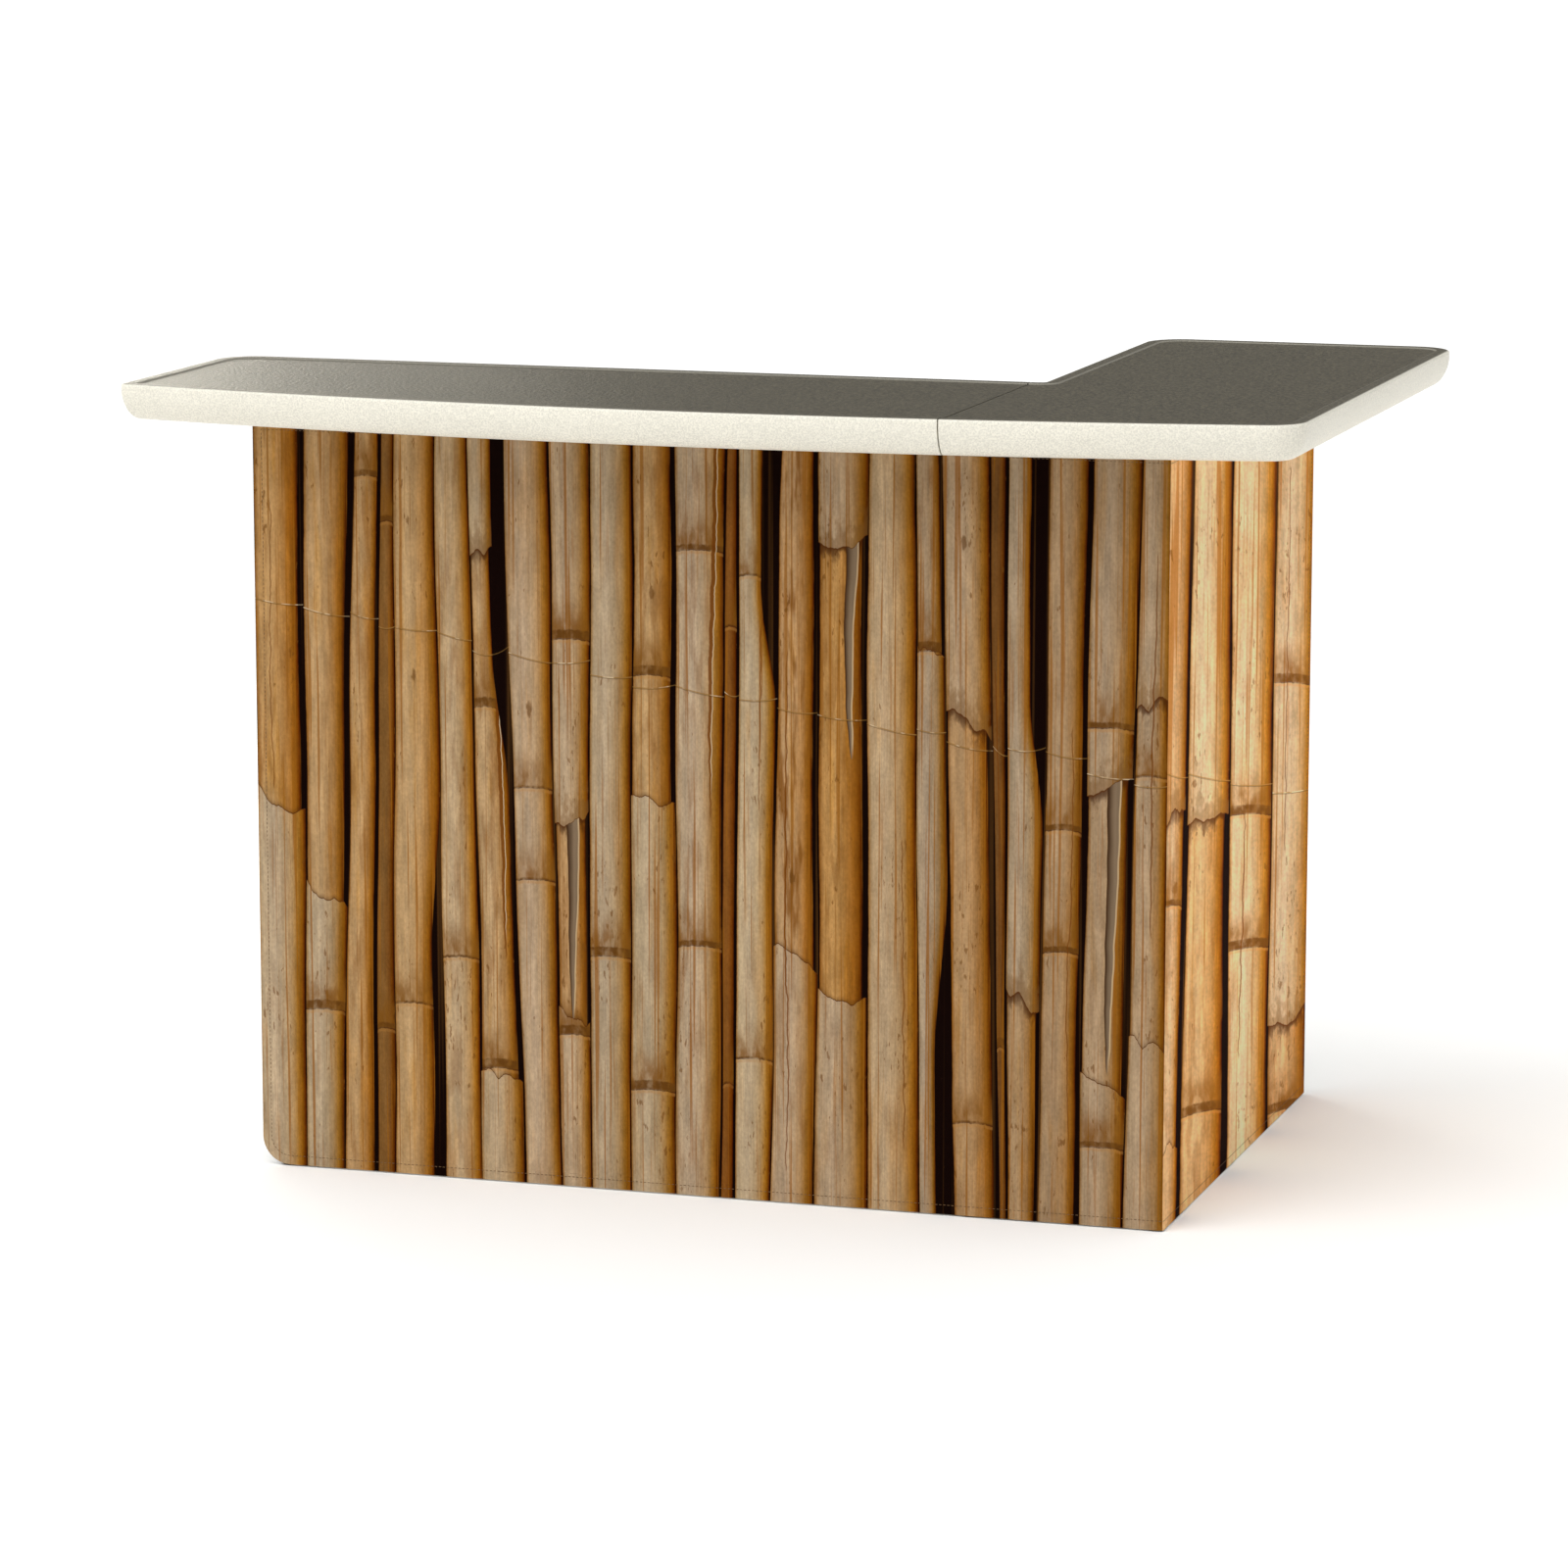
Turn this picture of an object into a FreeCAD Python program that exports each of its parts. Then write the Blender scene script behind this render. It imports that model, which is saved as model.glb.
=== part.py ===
import FreeCAD, Part
import math
import os

from FreeCAD import Vector

# The bar is drawn with x along its front, y towards the server's side and z up from the floor.
# Plan places are measured from the counter's front left corner, and export() moves the
# finished pieces so that the origin is the middle of the floor under the whole bar.

# Counter: two blow-moulded tops that meet at a seam
COUNTER_TOP = 1067.0
COUNTER_LENGTH = 1597.0
COUNTER_BOW = 85.0
COUNTER_THICKNESS = 48.0
LONG_DEPTH = 385.0
RETURN_WIDTH = 434.0
RETURN_DEPTH = 990.0
SEAM_STEP = 17.5
SEAM_GAP = 2.0
CORNER_RADIUS = 55.0
INNER_CORNER_RADIUS = 8.0
SHARPEST_CORNER = 2.0
RIM_STRAIGHT = 11.0
RIM_INSET = 24.0
RIM_TOP_ROUND = 2.0
RIM_STEPS = 6
LIP_WIDTH = 25.0
LIP_SLOPE = 2.0
FIELD_RECESS = 3.0
MOULD_WALL = 3.5
KISS_PITCH = 112.0
KISS_MOUTH_RADIUS = 13.0
KISS_TIP_RADIUS = 8.0
KISS_WALL = 3.0
KISS_MARGIN = 62.0

# Printed skin and the hook-and-loop tape behind it
SKIN_THICKNESS = 1.2
SKIN_LEFT_OVERHANG = 156.0
SKIN_RIGHT_OVERHANG = 185.0
SKIN_FRONT_SETBACK = 80.0
SKIN_BACK_OVERHANG = 74.0
SKIN_FLOOR_GAP = 2.0
SKIN_TOP_GAP = 3.0
SKIN_CORNER_RADIUS = 38.0
SKIN_SLIT = 0.4
TAPE_THICKNESS = 2.0
TAPE_WIDTH = 20.0

# Frame tubes
TUBE = 25.0
WING_TUBE = 20.0
TUBE_WALL = 1.5
TUBE_ROUND = 2.5
POST_INSET = 20.0
BOTTOM_RAIL_HEIGHT = 30.0
GLIDE_HEIGHT = 8.0
GLIDE_CHAMFER = 2.0
GLIDE_INSET = 1.0
GLIDE_PLUG = 12.0
PLUG_CLEARANCE = 0.2
CAP_THICKNESS = 2.0
CAP_PLUG = 10.0

# How the folding frames stack and clear one another
COUNTER_CLEARANCE = 0.5
FOLD_GAP = 3.0
SHELF_FOLD_GAP = 0.5
STUB_GAP = 6.0
WING_BACK_INSET = 10.0
GATE_WIDTH = 195.0

# Pivot sleeves that carry the wings and the gate
SLEEVE_WALL = 3.0
SLEEVE_HEIGHT = 30.0
SLEEVE_LOW = 150.0
SLEEVE_HIGH = 850.0
SLEEVE_WEB = 6.0
SLEEVE_PLATE = 2.5
SLEEVE_PLATE_HEIGHT = 62.0
SLEEVE_STANDOFF = 2.5
PIVOT_CLEARANCE = 0.05
RIVET_HEAD_RADIUS = 4.5
RIVET_HEAD_HEIGHT = 2.0
RIVET_RADIUS = 2.4
RIVET_INSET = 8.0

# Side hinge
HINGE_BARREL_RADIUS = 5.0
HINGE_PIN_RADIUS = 2.5
HINGE_PIN_CLEARANCE = 0.05
HINGE_LEAF = 3.0
HINGE_HEIGHT = 80.0
HINGE_KNUCKLE_GAP = 0.5
HINGE_REACH = 6.0
HINGE_LOW = 110.0
HINGE_MIDDLE = 490.0
HINGE_HIGH = 860.0
PIN_HEAD_RADIUS = 4.0
PIN_HEAD_HEIGHT = 1.5

# Shelf
SHELF_HEIGHT = 560.0
SHELF_THICKNESS = 20.0
SHELF_END_GAP = 7.5
SHELF_BACK_GAP = 27.0
SHELF_CORNER_RADIUS = 12.0
SHELF_BARREL_RADIUS = 4.5
SHELF_LEAF = 2.0
SHELF_HINGE_WIDTH = 60.0
SHELF_LEAF_REACH = 34.0
SHELF_HINGE_MARGIN = 120.0
SHELF_HINGE_COUNT = 3
SHELF_WALL = 2.5
LEDGE_THICKNESS = 2.0
LEDGE_REACH = 20.0
LEDGE_DROP = 20.0
LEDGE_MARGIN = 22.0
LEDGE_GAP = 0.3

# Pegs on the frame that locate the counters
PEG_RADIUS = 8.0
PEG_HEIGHT = 14.0
PEG_CHAMFER = 2.0
PEG_SOCKET_CLEARANCE = 0.6
PEG_SOCKET_WALL = 4.0
LONG_PEG_INSET = 150.0

# Places worked out from the sizes above
UNDERSIDE = COUNTER_TOP - COUNTER_THICKNESS
RETURN_LEFT = COUNTER_LENGTH - RETURN_WIDTH
SEAM_X = RETURN_LEFT - SEAM_STEP
FIELD_TOP = COUNTER_TOP - FIELD_RECESS
MOVING_TOP = UNDERSIDE - COUNTER_CLEARANCE

SKIN_LEFT = SKIN_LEFT_OVERHANG
SKIN_RIGHT = COUNTER_LENGTH - SKIN_RIGHT_OVERHANG
SKIN_FRONT = SKIN_FRONT_SETBACK
SKIN_BACK = RETURN_DEPTH - SKIN_BACK_OVERHANG
SKIN_TOP = UNDERSIDE - SKIN_TOP_GAP

FRAME_FRONT = SKIN_FRONT + SKIN_THICKNESS + TAPE_THICKNESS
FRAME_BACK = FRAME_FRONT + TUBE
FRAME_RIGHT = SKIN_RIGHT - SKIN_THICKNESS - TAPE_THICKNESS
FRAME_LEFT = SKIN_LEFT + POST_INSET
SIDE_INNER = FRAME_RIGHT - TUBE
POSTS_X = (FRAME_LEFT, SEAM_X - TUBE / 2, SIDE_INNER)

WING_RADIUS = WING_TUBE / 2
SLEEVE_RADIUS = WING_RADIUS + SLEEVE_WALL
WING_AXIS_Y = FRAME_BACK + SHELF_FOLD_GAP + SHELF_THICKNESS + FOLD_GAP + WING_RADIUS
LEFT_AXIS_X = FRAME_LEFT + TUBE / 2
MID_AXIS_X = SEAM_X
WING_BACK = LONG_DEPTH - WING_BACK_INSET

GATE_STANDOFF = SLEEVE_RADIUS + SLEEVE_STANDOFF
SIDE_AXIS_X = FRAME_RIGHT - HINGE_BARREL_RADIUS
SIDE_AXIS_Y = WING_AXIS_Y + WING_RADIUS + FOLD_GAP + GATE_STANDOFF + WING_RADIUS + SIDE_AXIS_X - SIDE_INNER
STUB_BACK = SIDE_AXIS_Y - (SIDE_AXIS_X - SIDE_INNER) - STUB_GAP
SIDE_NEAR = SIDE_AXIS_Y + HINGE_REACH
SIDE_BACK = SKIN_BACK - SKIN_THICKNESS
SIDE_MIDDLE = (SIDE_NEAR + SIDE_BACK - GATE_WIDTH) / 2
GATE_AXIS_X = SIDE_INNER - GATE_STANDOFF
GATE_AXIS_Y = SIDE_BACK - TUBE / 2

SHELF_AXIS_Y = FRAME_BACK + SHELF_FOLD_GAP + SHELF_BARREL_RADIUS
SHELF_AXIS_Z = SHELF_HEIGHT - SHELF_BARREL_RADIUS
SHELF_BOTTOM = SHELF_HEIGHT - SHELF_THICKNESS
SHELF_FRONT = SHELF_AXIS_Y + SHELF_BARREL_RADIUS + HINGE_KNUCKLE_GAP + SHELF_FOLD_GAP
SHELF_BACK = WING_BACK - WING_TUBE - SHELF_BACK_GAP
SHELF_LEFT = LEFT_AXIS_X + WING_RADIUS + SHELF_END_GAP
SHELF_RIGHT = MID_AXIS_X - WING_RADIUS - SHELF_END_GAP
LEDGE_TOP = SHELF_BOTTOM - LEDGE_GAP
MID_RAIL_TOP = SHELF_AXIS_Z - SHELF_LEAF
LONG_PEGS = (
    (FRAME_LEFT + LONG_PEG_INSET, (FRAME_FRONT + FRAME_BACK) / 2),
    (SEAM_X - LONG_PEG_INSET, (FRAME_FRONT + FRAME_BACK) / 2),
)
RETURN_PEGS = (
    ((SEAM_X + SIDE_INNER) / 2, (FRAME_FRONT + FRAME_BACK) / 2),
    ((SIDE_INNER + FRAME_RIGHT) / 2, (FRAME_BACK + STUB_BACK - TUBE) / 2),
)

ORIGIN = Vector(-COUNTER_LENGTH / 2, (COUNTER_BOW - RETURN_DEPTH) / 2, 0)
UP = Vector(0, 0, 1)


def export(name, pieces):
    """Writes one node: a single solid, or a group of separate solids."""
    shapes = pieces if isinstance(pieces, list) else [pieces]
    moved = []
    for shape in shapes:
        solid = shape.copy()
        solid.translate(ORIGIN)
        moved.append(solid)
    node = moved[0] if len(moved) == 1 else Part.makeCompound(moved)
    for solid in node.Solids:
        if not solid.isValid():
            print("not valid:", name)
    node.exportStep(f"parts/{name}.step")
    print(f"{name}: {len(node.Solids)} solids, {node.Volume / 1000:.1f} cm3")


def block(x, y, z):
    """Box between three pairs of low and high values."""
    return Part.makeBox(x[1] - x[0], y[1] - y[0], z[1] - z[0], Vector(x[0], y[0], z[0]))


def fuse(pieces):
    whole = pieces[0]
    for piece in pieces[1:]:
        whole = whole.fuse(piece)
    return whole.removeSplitter()


def tube(x, y, z, along):
    """Square tube with rounded outer edges, open at both ends."""
    spans = (x, y, z)
    axis = "xyz".index(along)
    outer = block(x, y, z)
    long_edges = [e for e in outer.Edges if abs(e.tangentAt(e.FirstParameter)[axis]) > 0.9]
    outer = outer.makeFillet(TUBE_ROUND, long_edges)
    bore = [span if i == axis else (span[0] + TUBE_WALL, span[1] - TUBE_WALL) for i, span in enumerate(spans)]
    return outer.cut(block(*bore))


def post(x_low, y_low, size, top):
    return tube((x_low, x_low + size), (y_low, y_low + size), (GLIDE_HEIGHT, top), "z")


def pivot_post(x, y, top):
    """Round tube that turns in two sleeves."""
    height = top - GLIDE_HEIGHT
    foot = Vector(x, y, GLIDE_HEIGHT)
    outer = Part.makeCylinder(WING_RADIUS, height, foot, UP)
    return outer.cut(Part.makeCylinder(WING_RADIUS - TUBE_WALL, height, foot, UP))


def glide(x, y, radius, plug_radius):
    """Foot pad with a plug that stands in the tube above it."""
    pad = Part.makeCylinder(radius, GLIDE_HEIGHT, Vector(x, y, 0), UP)
    rim = [e for e in pad.Edges if e.BoundBox.ZMax < 0.01]
    pad = pad.makeChamfer(GLIDE_CHAMFER, rim)
    plug = Part.makeCylinder(plug_radius, GLIDE_PLUG, Vector(x, y, GLIDE_HEIGHT), UP)
    return fuse([pad, plug])


def square_glide(x_low, y_low, size):
    half = size / 2
    return glide(x_low + half, y_low + half, half - GLIDE_INSET, half - TUBE_WALL - PLUG_CLEARANCE)


def round_glide(x, y):
    return glide(x, y, WING_RADIUS, WING_RADIUS - TUBE_WALL - PLUG_CLEARANCE)


def square_cap(x_low, y_low, size, top):
    """Cap on a post's top end, with its plug inside the tube."""
    plate = block((x_low, x_low + size), (y_low, y_low + size), (top - CAP_THICKNESS, top))
    upright = [e for e in plate.Edges if abs(e.tangentAt(e.FirstParameter).z) > 0.9]
    plate = plate.makeFillet(TUBE_ROUND, upright)
    inset = TUBE_WALL + PLUG_CLEARANCE
    span_x = (x_low + inset, x_low + size - inset)
    span_y = (y_low + inset, y_low + size - inset)
    return fuse([plate, block(span_x, span_y, (top - CAP_THICKNESS - CAP_PLUG, top - CAP_THICKNESS))])


def round_cap(x, y, top):
    plate = Part.makeCylinder(WING_RADIUS, CAP_THICKNESS, Vector(x, y, top - CAP_THICKNESS), UP)
    radius = WING_RADIUS - TUBE_WALL - PLUG_CLEARANCE
    plug = Part.makeCylinder(radius, CAP_PLUG, Vector(x, y, top - CAP_THICKNESS - CAP_PLUG), UP)
    return fuse([plate, plug])


def plan_block(inset, z):
    """Upright block of the whole counter's plan, drawn in by inset, with rounded corners."""
    bow_radius = (COUNTER_LENGTH ** 2 / 4 + COUNTER_BOW ** 2) / (2 * COUNTER_BOW)
    centre = Vector(COUNTER_LENGTH / 2, bow_radius - COUNTER_BOW, 0)
    radius = bow_radius - inset
    left = inset
    right = COUNTER_LENGTH - inset
    front = centre.y - math.sqrt(radius ** 2 - (centre.x - left) ** 2)
    back = RETURN_DEPTH - inset
    inner_x = RETURN_LEFT + inset
    inner_y = LONG_DEPTH - inset
    corners = [
        Vector(right, front, 0),
        Vector(right, back, 0),
        Vector(inner_x, back, 0),
        Vector(inner_x, inner_y, 0),
        Vector(left, inner_y, 0),
        Vector(left, front, 0),
    ]
    bow = Part.Arc(corners[-1], Vector(centre.x, centre.y - radius, 0), corners[0])
    edges = [bow.toShape()]
    for start, end in zip(corners, corners[1:]):
        edges.append(Part.makeLine(start, end))
    solid = Part.Face(Part.Wire(edges)).extrude(Vector(0, 0, z[1] - z[0]))
    solid.translate(Vector(0, 0, z[0]))
    upright = [e for e in solid.Edges if e.BoundBox.ZLength > (z[1] - z[0]) / 2]
    inner = [e for e in upright if abs(e.BoundBox.XMin - inner_x) < 1 and abs(e.BoundBox.YMin - inner_y) < 1]
    outer = [e for e in upright if not any(e.isSame(other) for other in inner)]
    solid = solid.makeFillet(max(CORNER_RADIUS - inset, SHARPEST_CORNER), outer)
    upright = [e for e in solid.Edges if e.BoundBox.ZLength > (z[1] - z[0]) / 2 and len(e.Vertexes) == 2]
    inner = [e for e in upright if abs(e.BoundBox.XMin - inner_x) < 1 and abs(e.BoundBox.YMin - inner_y) < 1]
    return solid.makeFillet(INNER_CORNER_RADIUS + inset, inner)


def plan_wire(inset, z):
    """The same plan as one closed wire at height z."""
    solid = plan_block(inset, (z, z + COUNTER_THICKNESS))
    floor = min(solid.Faces, key=lambda face: face.CenterOfMass.z)
    return floor.OuterWire


def counter_body():
    """Both counters in one: hull-shaped edge, rounded rim and recessed field."""
    curve = []
    for i in range(RIM_STEPS + 1):
        angle = math.pi / 2 * (1 - i / RIM_STEPS)
        inset = RIM_INSET * (1 - math.cos(angle))
        depth = RIM_STRAIGHT + (COUNTER_THICKNESS - RIM_STRAIGHT) * math.sin(angle)
        curve.append(plan_wire(inset, COUNTER_TOP - depth))
    hull = Part.makeLoft(curve, True, False)
    band = plan_block(0, (COUNTER_TOP - RIM_STRAIGHT, COUNTER_TOP - RIM_TOP_ROUND))
    halfway = RIM_TOP_ROUND * (1 - math.cos(math.pi / 4))
    rounding = [
        plan_wire(0, COUNTER_TOP - RIM_TOP_ROUND),
        plan_wire(halfway, COUNTER_TOP - halfway),
        plan_wire(RIM_TOP_ROUND, COUNTER_TOP),
    ]
    crown = Part.makeLoft(rounding, True, True)
    recess = Part.makeLoft(
        [plan_wire(LIP_WIDTH + LIP_SLOPE, FIELD_TOP), plan_wire(LIP_WIDTH, COUNTER_TOP)], True, True
    )
    return hull.fuse(band).fuse(crown).cut(recess)


def kiss_places(x, y, sockets):
    """Grid of dimples inside a rectangle, clear of the peg sockets."""
    places = []
    columns = max(1, int((x[1] - x[0]) // KISS_PITCH))
    rows = max(1, int((y[1] - y[0]) // KISS_PITCH))
    for i in range(columns + 1):
        for j in range(rows + 1):
            place = Vector(x[0] + (x[1] - x[0]) * i / columns, y[0] + (y[1] - y[0]) * j / rows, 0)
            clear = KISS_MOUTH_RADIUS + PEG_RADIUS + 2 * PEG_SOCKET_WALL
            if all((place - Vector(sx, sy, 0)).Length > clear for sx, sy in sockets):
                places.append(place)
    return places


def counter_piece(body, span, grid, sockets):
    """One moulding: hollow, with dimples and peg sockets in its underside."""
    slab = block(span, (-COUNTER_BOW - 1, RETURN_DEPTH + 1), (UNDERSIDE - 1, COUNTER_TOP + 1))
    shell = body.common(slab)
    cavity = plan_block(RIM_INSET + MOULD_WALL, (UNDERSIDE + MOULD_WALL, FIELD_TOP - MOULD_WALL))
    inner_span = (span[0] + MOULD_WALL, span[1] - MOULD_WALL)
    cavity = cavity.common(block(inner_span, (-COUNTER_BOW, RETURN_DEPTH), (UNDERSIDE, COUNTER_TOP)))
    depth = COUNTER_THICKNESS - FIELD_RECESS - MOULD_WALL
    dimples = []
    pillars = []
    for place in grid:
        foot = Vector(place.x, place.y, UNDERSIDE)
        dimples.append(Part.makeCone(KISS_MOUTH_RADIUS, KISS_TIP_RADIUS, depth - KISS_WALL, foot, UP))
        outer = (KISS_MOUTH_RADIUS + KISS_WALL, KISS_TIP_RADIUS + KISS_WALL)
        pillars.append(Part.makeCone(outer[0], outer[1], depth, foot, UP))
    for x, y in sockets:
        foot = Vector(x, y, UNDERSIDE)
        radius = PEG_RADIUS + PEG_SOCKET_CLEARANCE
        dimples.append(Part.makeCylinder(radius, PEG_HEIGHT + PEG_CHAMFER, foot, UP))
        pillars.append(Part.makeCylinder(radius + PEG_SOCKET_WALL, depth, foot, UP))
    cavity = cavity.cut(Part.makeCompound(pillars))
    return shell.cut(cavity).cut(Part.makeCompound(dimples))


def counters():
    body = counter_body()
    long_span = (-1, SEAM_X - SEAM_GAP / 2)
    return_span = (SEAM_X + SEAM_GAP / 2, COUNTER_LENGTH + 1)
    long_grid = kiss_places(
        (KISS_MARGIN, long_span[1] - KISS_MARGIN), (KISS_MARGIN, LONG_DEPTH - KISS_MARGIN), LONG_PEGS
    )
    return_grid = kiss_places(
        (RETURN_LEFT + KISS_MARGIN, COUNTER_LENGTH - KISS_MARGIN),
        (KISS_MARGIN, RETURN_DEPTH - KISS_MARGIN),
        RETURN_PEGS,
    )
    export("counter_long", counter_piece(body, long_span, long_grid, LONG_PEGS).Solids)
    export("counter_return", counter_piece(body, return_span, return_grid, RETURN_PEGS).Solids)


def peg(x, y):
    foot = Vector(x, y, UNDERSIDE - TUBE + TUBE_WALL)
    pin = Part.makeCylinder(PEG_RADIUS, TUBE - TUBE_WALL + PEG_HEIGHT, foot, UP)
    tip = [e for e in pin.Edges if e.BoundBox.ZMin > UNDERSIDE]
    return pin.makeChamfer(PEG_CHAMFER, tip)


def peg_hole(x, y):
    return Part.makeCylinder(PEG_RADIUS, TUBE, Vector(x, y, UNDERSIDE - TUBE / 2), UP)


def rail_levels(top, size):
    """Height spans of a frame's top, middle and bottom rails."""
    return (
        (top - size, top),
        (MID_RAIL_TOP - size, MID_RAIL_TOP),
        (BOTTOM_RAIL_HEIGHT, BOTTOM_RAIL_HEIGHT + size),
    )


def rivet(place, direction):
    """Blind rivet: a domed head on the plate and a shank through plate and tube wall."""
    head = Part.makeCone(RIVET_HEAD_RADIUS, RIVET_HEAD_RADIUS / 2, RIVET_HEAD_HEIGHT, place, direction)
    shank = rivet_hole(place, direction)
    return fuse([head, shank])


def rivet_hole(place, direction):
    length = SLEEVE_PLATE + TUBE_WALL
    start = place - direction * length
    return Part.makeCylinder(RIVET_RADIUS, length, start, direction)


def sleeve_rivets(x, y, direction):
    """Places of the four rivets of a pair of sleeves, on the outer face of their plates."""
    places = []
    for level in (SLEEVE_LOW, SLEEVE_HIGH):
        middle = level + SLEEVE_HEIGHT / 2
        for side in (-1, 1):
            z = middle + side * (SLEEVE_PLATE_HEIGHT / 2 - RIVET_INSET)
            places.append(Vector(x, y, z) + direction * SLEEVE_PLATE)
    return places


def sleeve(x, y, level, plate, web):
    """Bracket with a collar that a pivot post turns in."""
    foot = Vector(x, y, level)
    collar = Part.makeCylinder(SLEEVE_RADIUS, SLEEVE_HEIGHT, foot, UP)
    middle = level + SLEEVE_HEIGHT / 2
    tall = (middle - SLEEVE_PLATE_HEIGHT / 2, middle + SLEEVE_PLATE_HEIGHT / 2)
    arm = block(web[0], web[1], (level, level + SLEEVE_HEIGHT))
    body = fuse([collar, block(plate[0], plate[1], tall), arm])
    bore = Part.makeCylinder(WING_RADIUS + PIVOT_CLEARANCE, SLEEVE_PLATE_HEIGHT, Vector(x, y, tall[0]), UP)
    return body.cut(bore)


def wing_sleeves(x):
    """Two sleeves behind a front post, for a wing's pivot post."""
    half = TUBE / 2 - TUBE_ROUND
    plate = ((x - half, x + half), (FRAME_BACK, FRAME_BACK + SLEEVE_PLATE))
    web = ((x - SLEEVE_WEB / 2, x + SLEEVE_WEB / 2), (FRAME_BACK, WING_AXIS_Y))
    places = sleeve_rivets(x, FRAME_BACK, Vector(0, 1, 0))
    holes = [rivet_hole(place, Vector(0, 1, 0)) for place in places]
    made = []
    for level in (SLEEVE_LOW, SLEEVE_HIGH):
        made.append(sleeve(x, WING_AXIS_Y, level, plate, web).cut(Part.makeCompound(holes)))
    rivets = [rivet(place, Vector(0, 1, 0)) for place in places]
    return made, rivets, holes


def front_frame():
    left_sleeves, left_rivets, left_holes = wing_sleeves(LEFT_AXIS_X)
    mid_sleeves, mid_rivets, mid_holes = wing_sleeves(MID_AXIS_X)
    holes = Part.makeCompound(left_holes + mid_holes)
    names = ("front_post_left", "front_post_seam", "front_post_right")
    top = UNDERSIDE - CAP_THICKNESS
    for name, x in zip(names, POSTS_X):
        export(name, post(x, FRAME_FRONT, TUBE, top).cut(holes))
    export("wing_sleeves_left", left_sleeves)
    export("wing_sleeves_seam", mid_sleeves)
    export("sleeve_rivets_front", left_rivets + mid_rivets)

    pegs = LONG_PEGS + RETURN_PEGS
    peg_holes = Part.makeCompound([peg_hole(x, y) for x, y in pegs])
    bays = ((POSTS_X[0] + TUBE, POSTS_X[1]), (POSTS_X[1] + TUBE, POSTS_X[2]))
    for name, level in zip(("top", "middle", "bottom"), rail_levels(UNDERSIDE, TUBE)):
        rails = [tube(bay, (FRAME_FRONT, FRAME_BACK), level, "x") for bay in bays]
        if name == "top":
            rails = [rail.cut(peg_holes) for rail in rails]
        export(f"front_rails_{name}", rails)
    export("counter_pegs_long", [peg(x, y) for x, y in LONG_PEGS])
    export("counter_pegs_return", [peg(x, y) for x, y in RETURN_PEGS])

    stub_x = (SIDE_INNER, FRAME_RIGHT)
    stub_top, stub_middle, stub_bottom = rail_levels(UNDERSIDE, TUBE)
    stub_y = (FRAME_BACK, STUB_BACK - TUBE)
    export("corner_stub_post", post(SIDE_INNER, STUB_BACK - TUBE, TUBE, top))
    spacers = [tube(stub_x, stub_y, level, "y") for level in (stub_top, stub_middle, stub_bottom)]
    spacers[0] = spacers[0].cut(peg_holes)
    export("corner_stub_spacers", spacers)

    feet = [(x, FRAME_FRONT) for x in POSTS_X] + [(SIDE_INNER, STUB_BACK - TUBE)]
    export("front_glides", [square_glide(x, y, TUBE) for x, y in feet])
    export("front_post_caps", [square_cap(x, y, TUBE, UNDERSIDE) for x, y in feet])


def wing(name, axis_x, inward):
    """End frame that swings on its pivot post and carries one end of the shelf."""
    top = MOVING_TOP
    tube_top = top - CAP_THICKNESS
    far = (WING_BACK - WING_TUBE, WING_BACK)
    span_x = (axis_x - WING_RADIUS, axis_x + WING_RADIUS)
    levels = (
        (top - WING_TUBE, top),
        (LEDGE_TOP - WING_TUBE, LEDGE_TOP),
        (BOTTOM_RAIL_HEIGHT, BOTTOM_RAIL_HEIGHT + WING_TUBE),
    )
    round_end = Part.makeCylinder(WING_RADIUS, COUNTER_TOP, Vector(axis_x, WING_AXIS_Y, 0), UP)
    rails = [tube(span_x, (WING_AXIS_Y, far[0]), level, "y").cut(round_end) for level in levels]
    export(f"{name}_pivot_post", pivot_post(axis_x, WING_AXIS_Y, tube_top))
    export(f"{name}_far_post", post(span_x[0], far[0], WING_TUBE, tube_top))
    export(f"{name}_rails", rails)
    export(f"{name}_glides", [round_glide(axis_x, WING_AXIS_Y), square_glide(span_x[0], far[0], WING_TUBE)])
    caps = [round_cap(axis_x, WING_AXIS_Y, top), square_cap(span_x[0], far[0], WING_TUBE, top)]
    export(f"{name}_post_caps", caps)

    face = axis_x + inward * WING_RADIUS
    reach = sorted((face, face + inward * LEDGE_REACH))
    back = sorted((face, face + inward * LEDGE_THICKNESS))
    length = (WING_AXIS_Y + LEDGE_MARGIN, far[0])
    lip = block(reach, length, (LEDGE_TOP - LEDGE_THICKNESS, LEDGE_TOP))
    flange = block(back, length, (LEDGE_TOP - LEDGE_DROP, LEDGE_TOP))
    export(f"{name}_shelf_ledge", fuse([lip, flange]))


def knuckles(place, direction, length, radius):
    """Spans of a three-knuckle barrel: the outer two, then the middle one."""
    third = length / 3
    spans = ((0, third - HINGE_KNUCKLE_GAP), (2 * third + HINGE_KNUCKLE_GAP, length), (third, 2 * third))
    return [Part.makeCylinder(radius, high - low, place + direction * low, direction) for low, high in spans]


def hinge_pin(place, direction, length):
    shank = Part.makeCylinder(HINGE_PIN_RADIUS, length, place, direction)
    head = Part.makeCylinder(PIN_HEAD_RADIUS, PIN_HEAD_HEIGHT, place + direction * length, direction)
    return fuse([shank, head])


def hinge_bore(place, direction, length):
    return Part.makeCylinder(HINGE_PIN_RADIUS + HINGE_PIN_CLEARANCE, length, place, direction)


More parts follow.
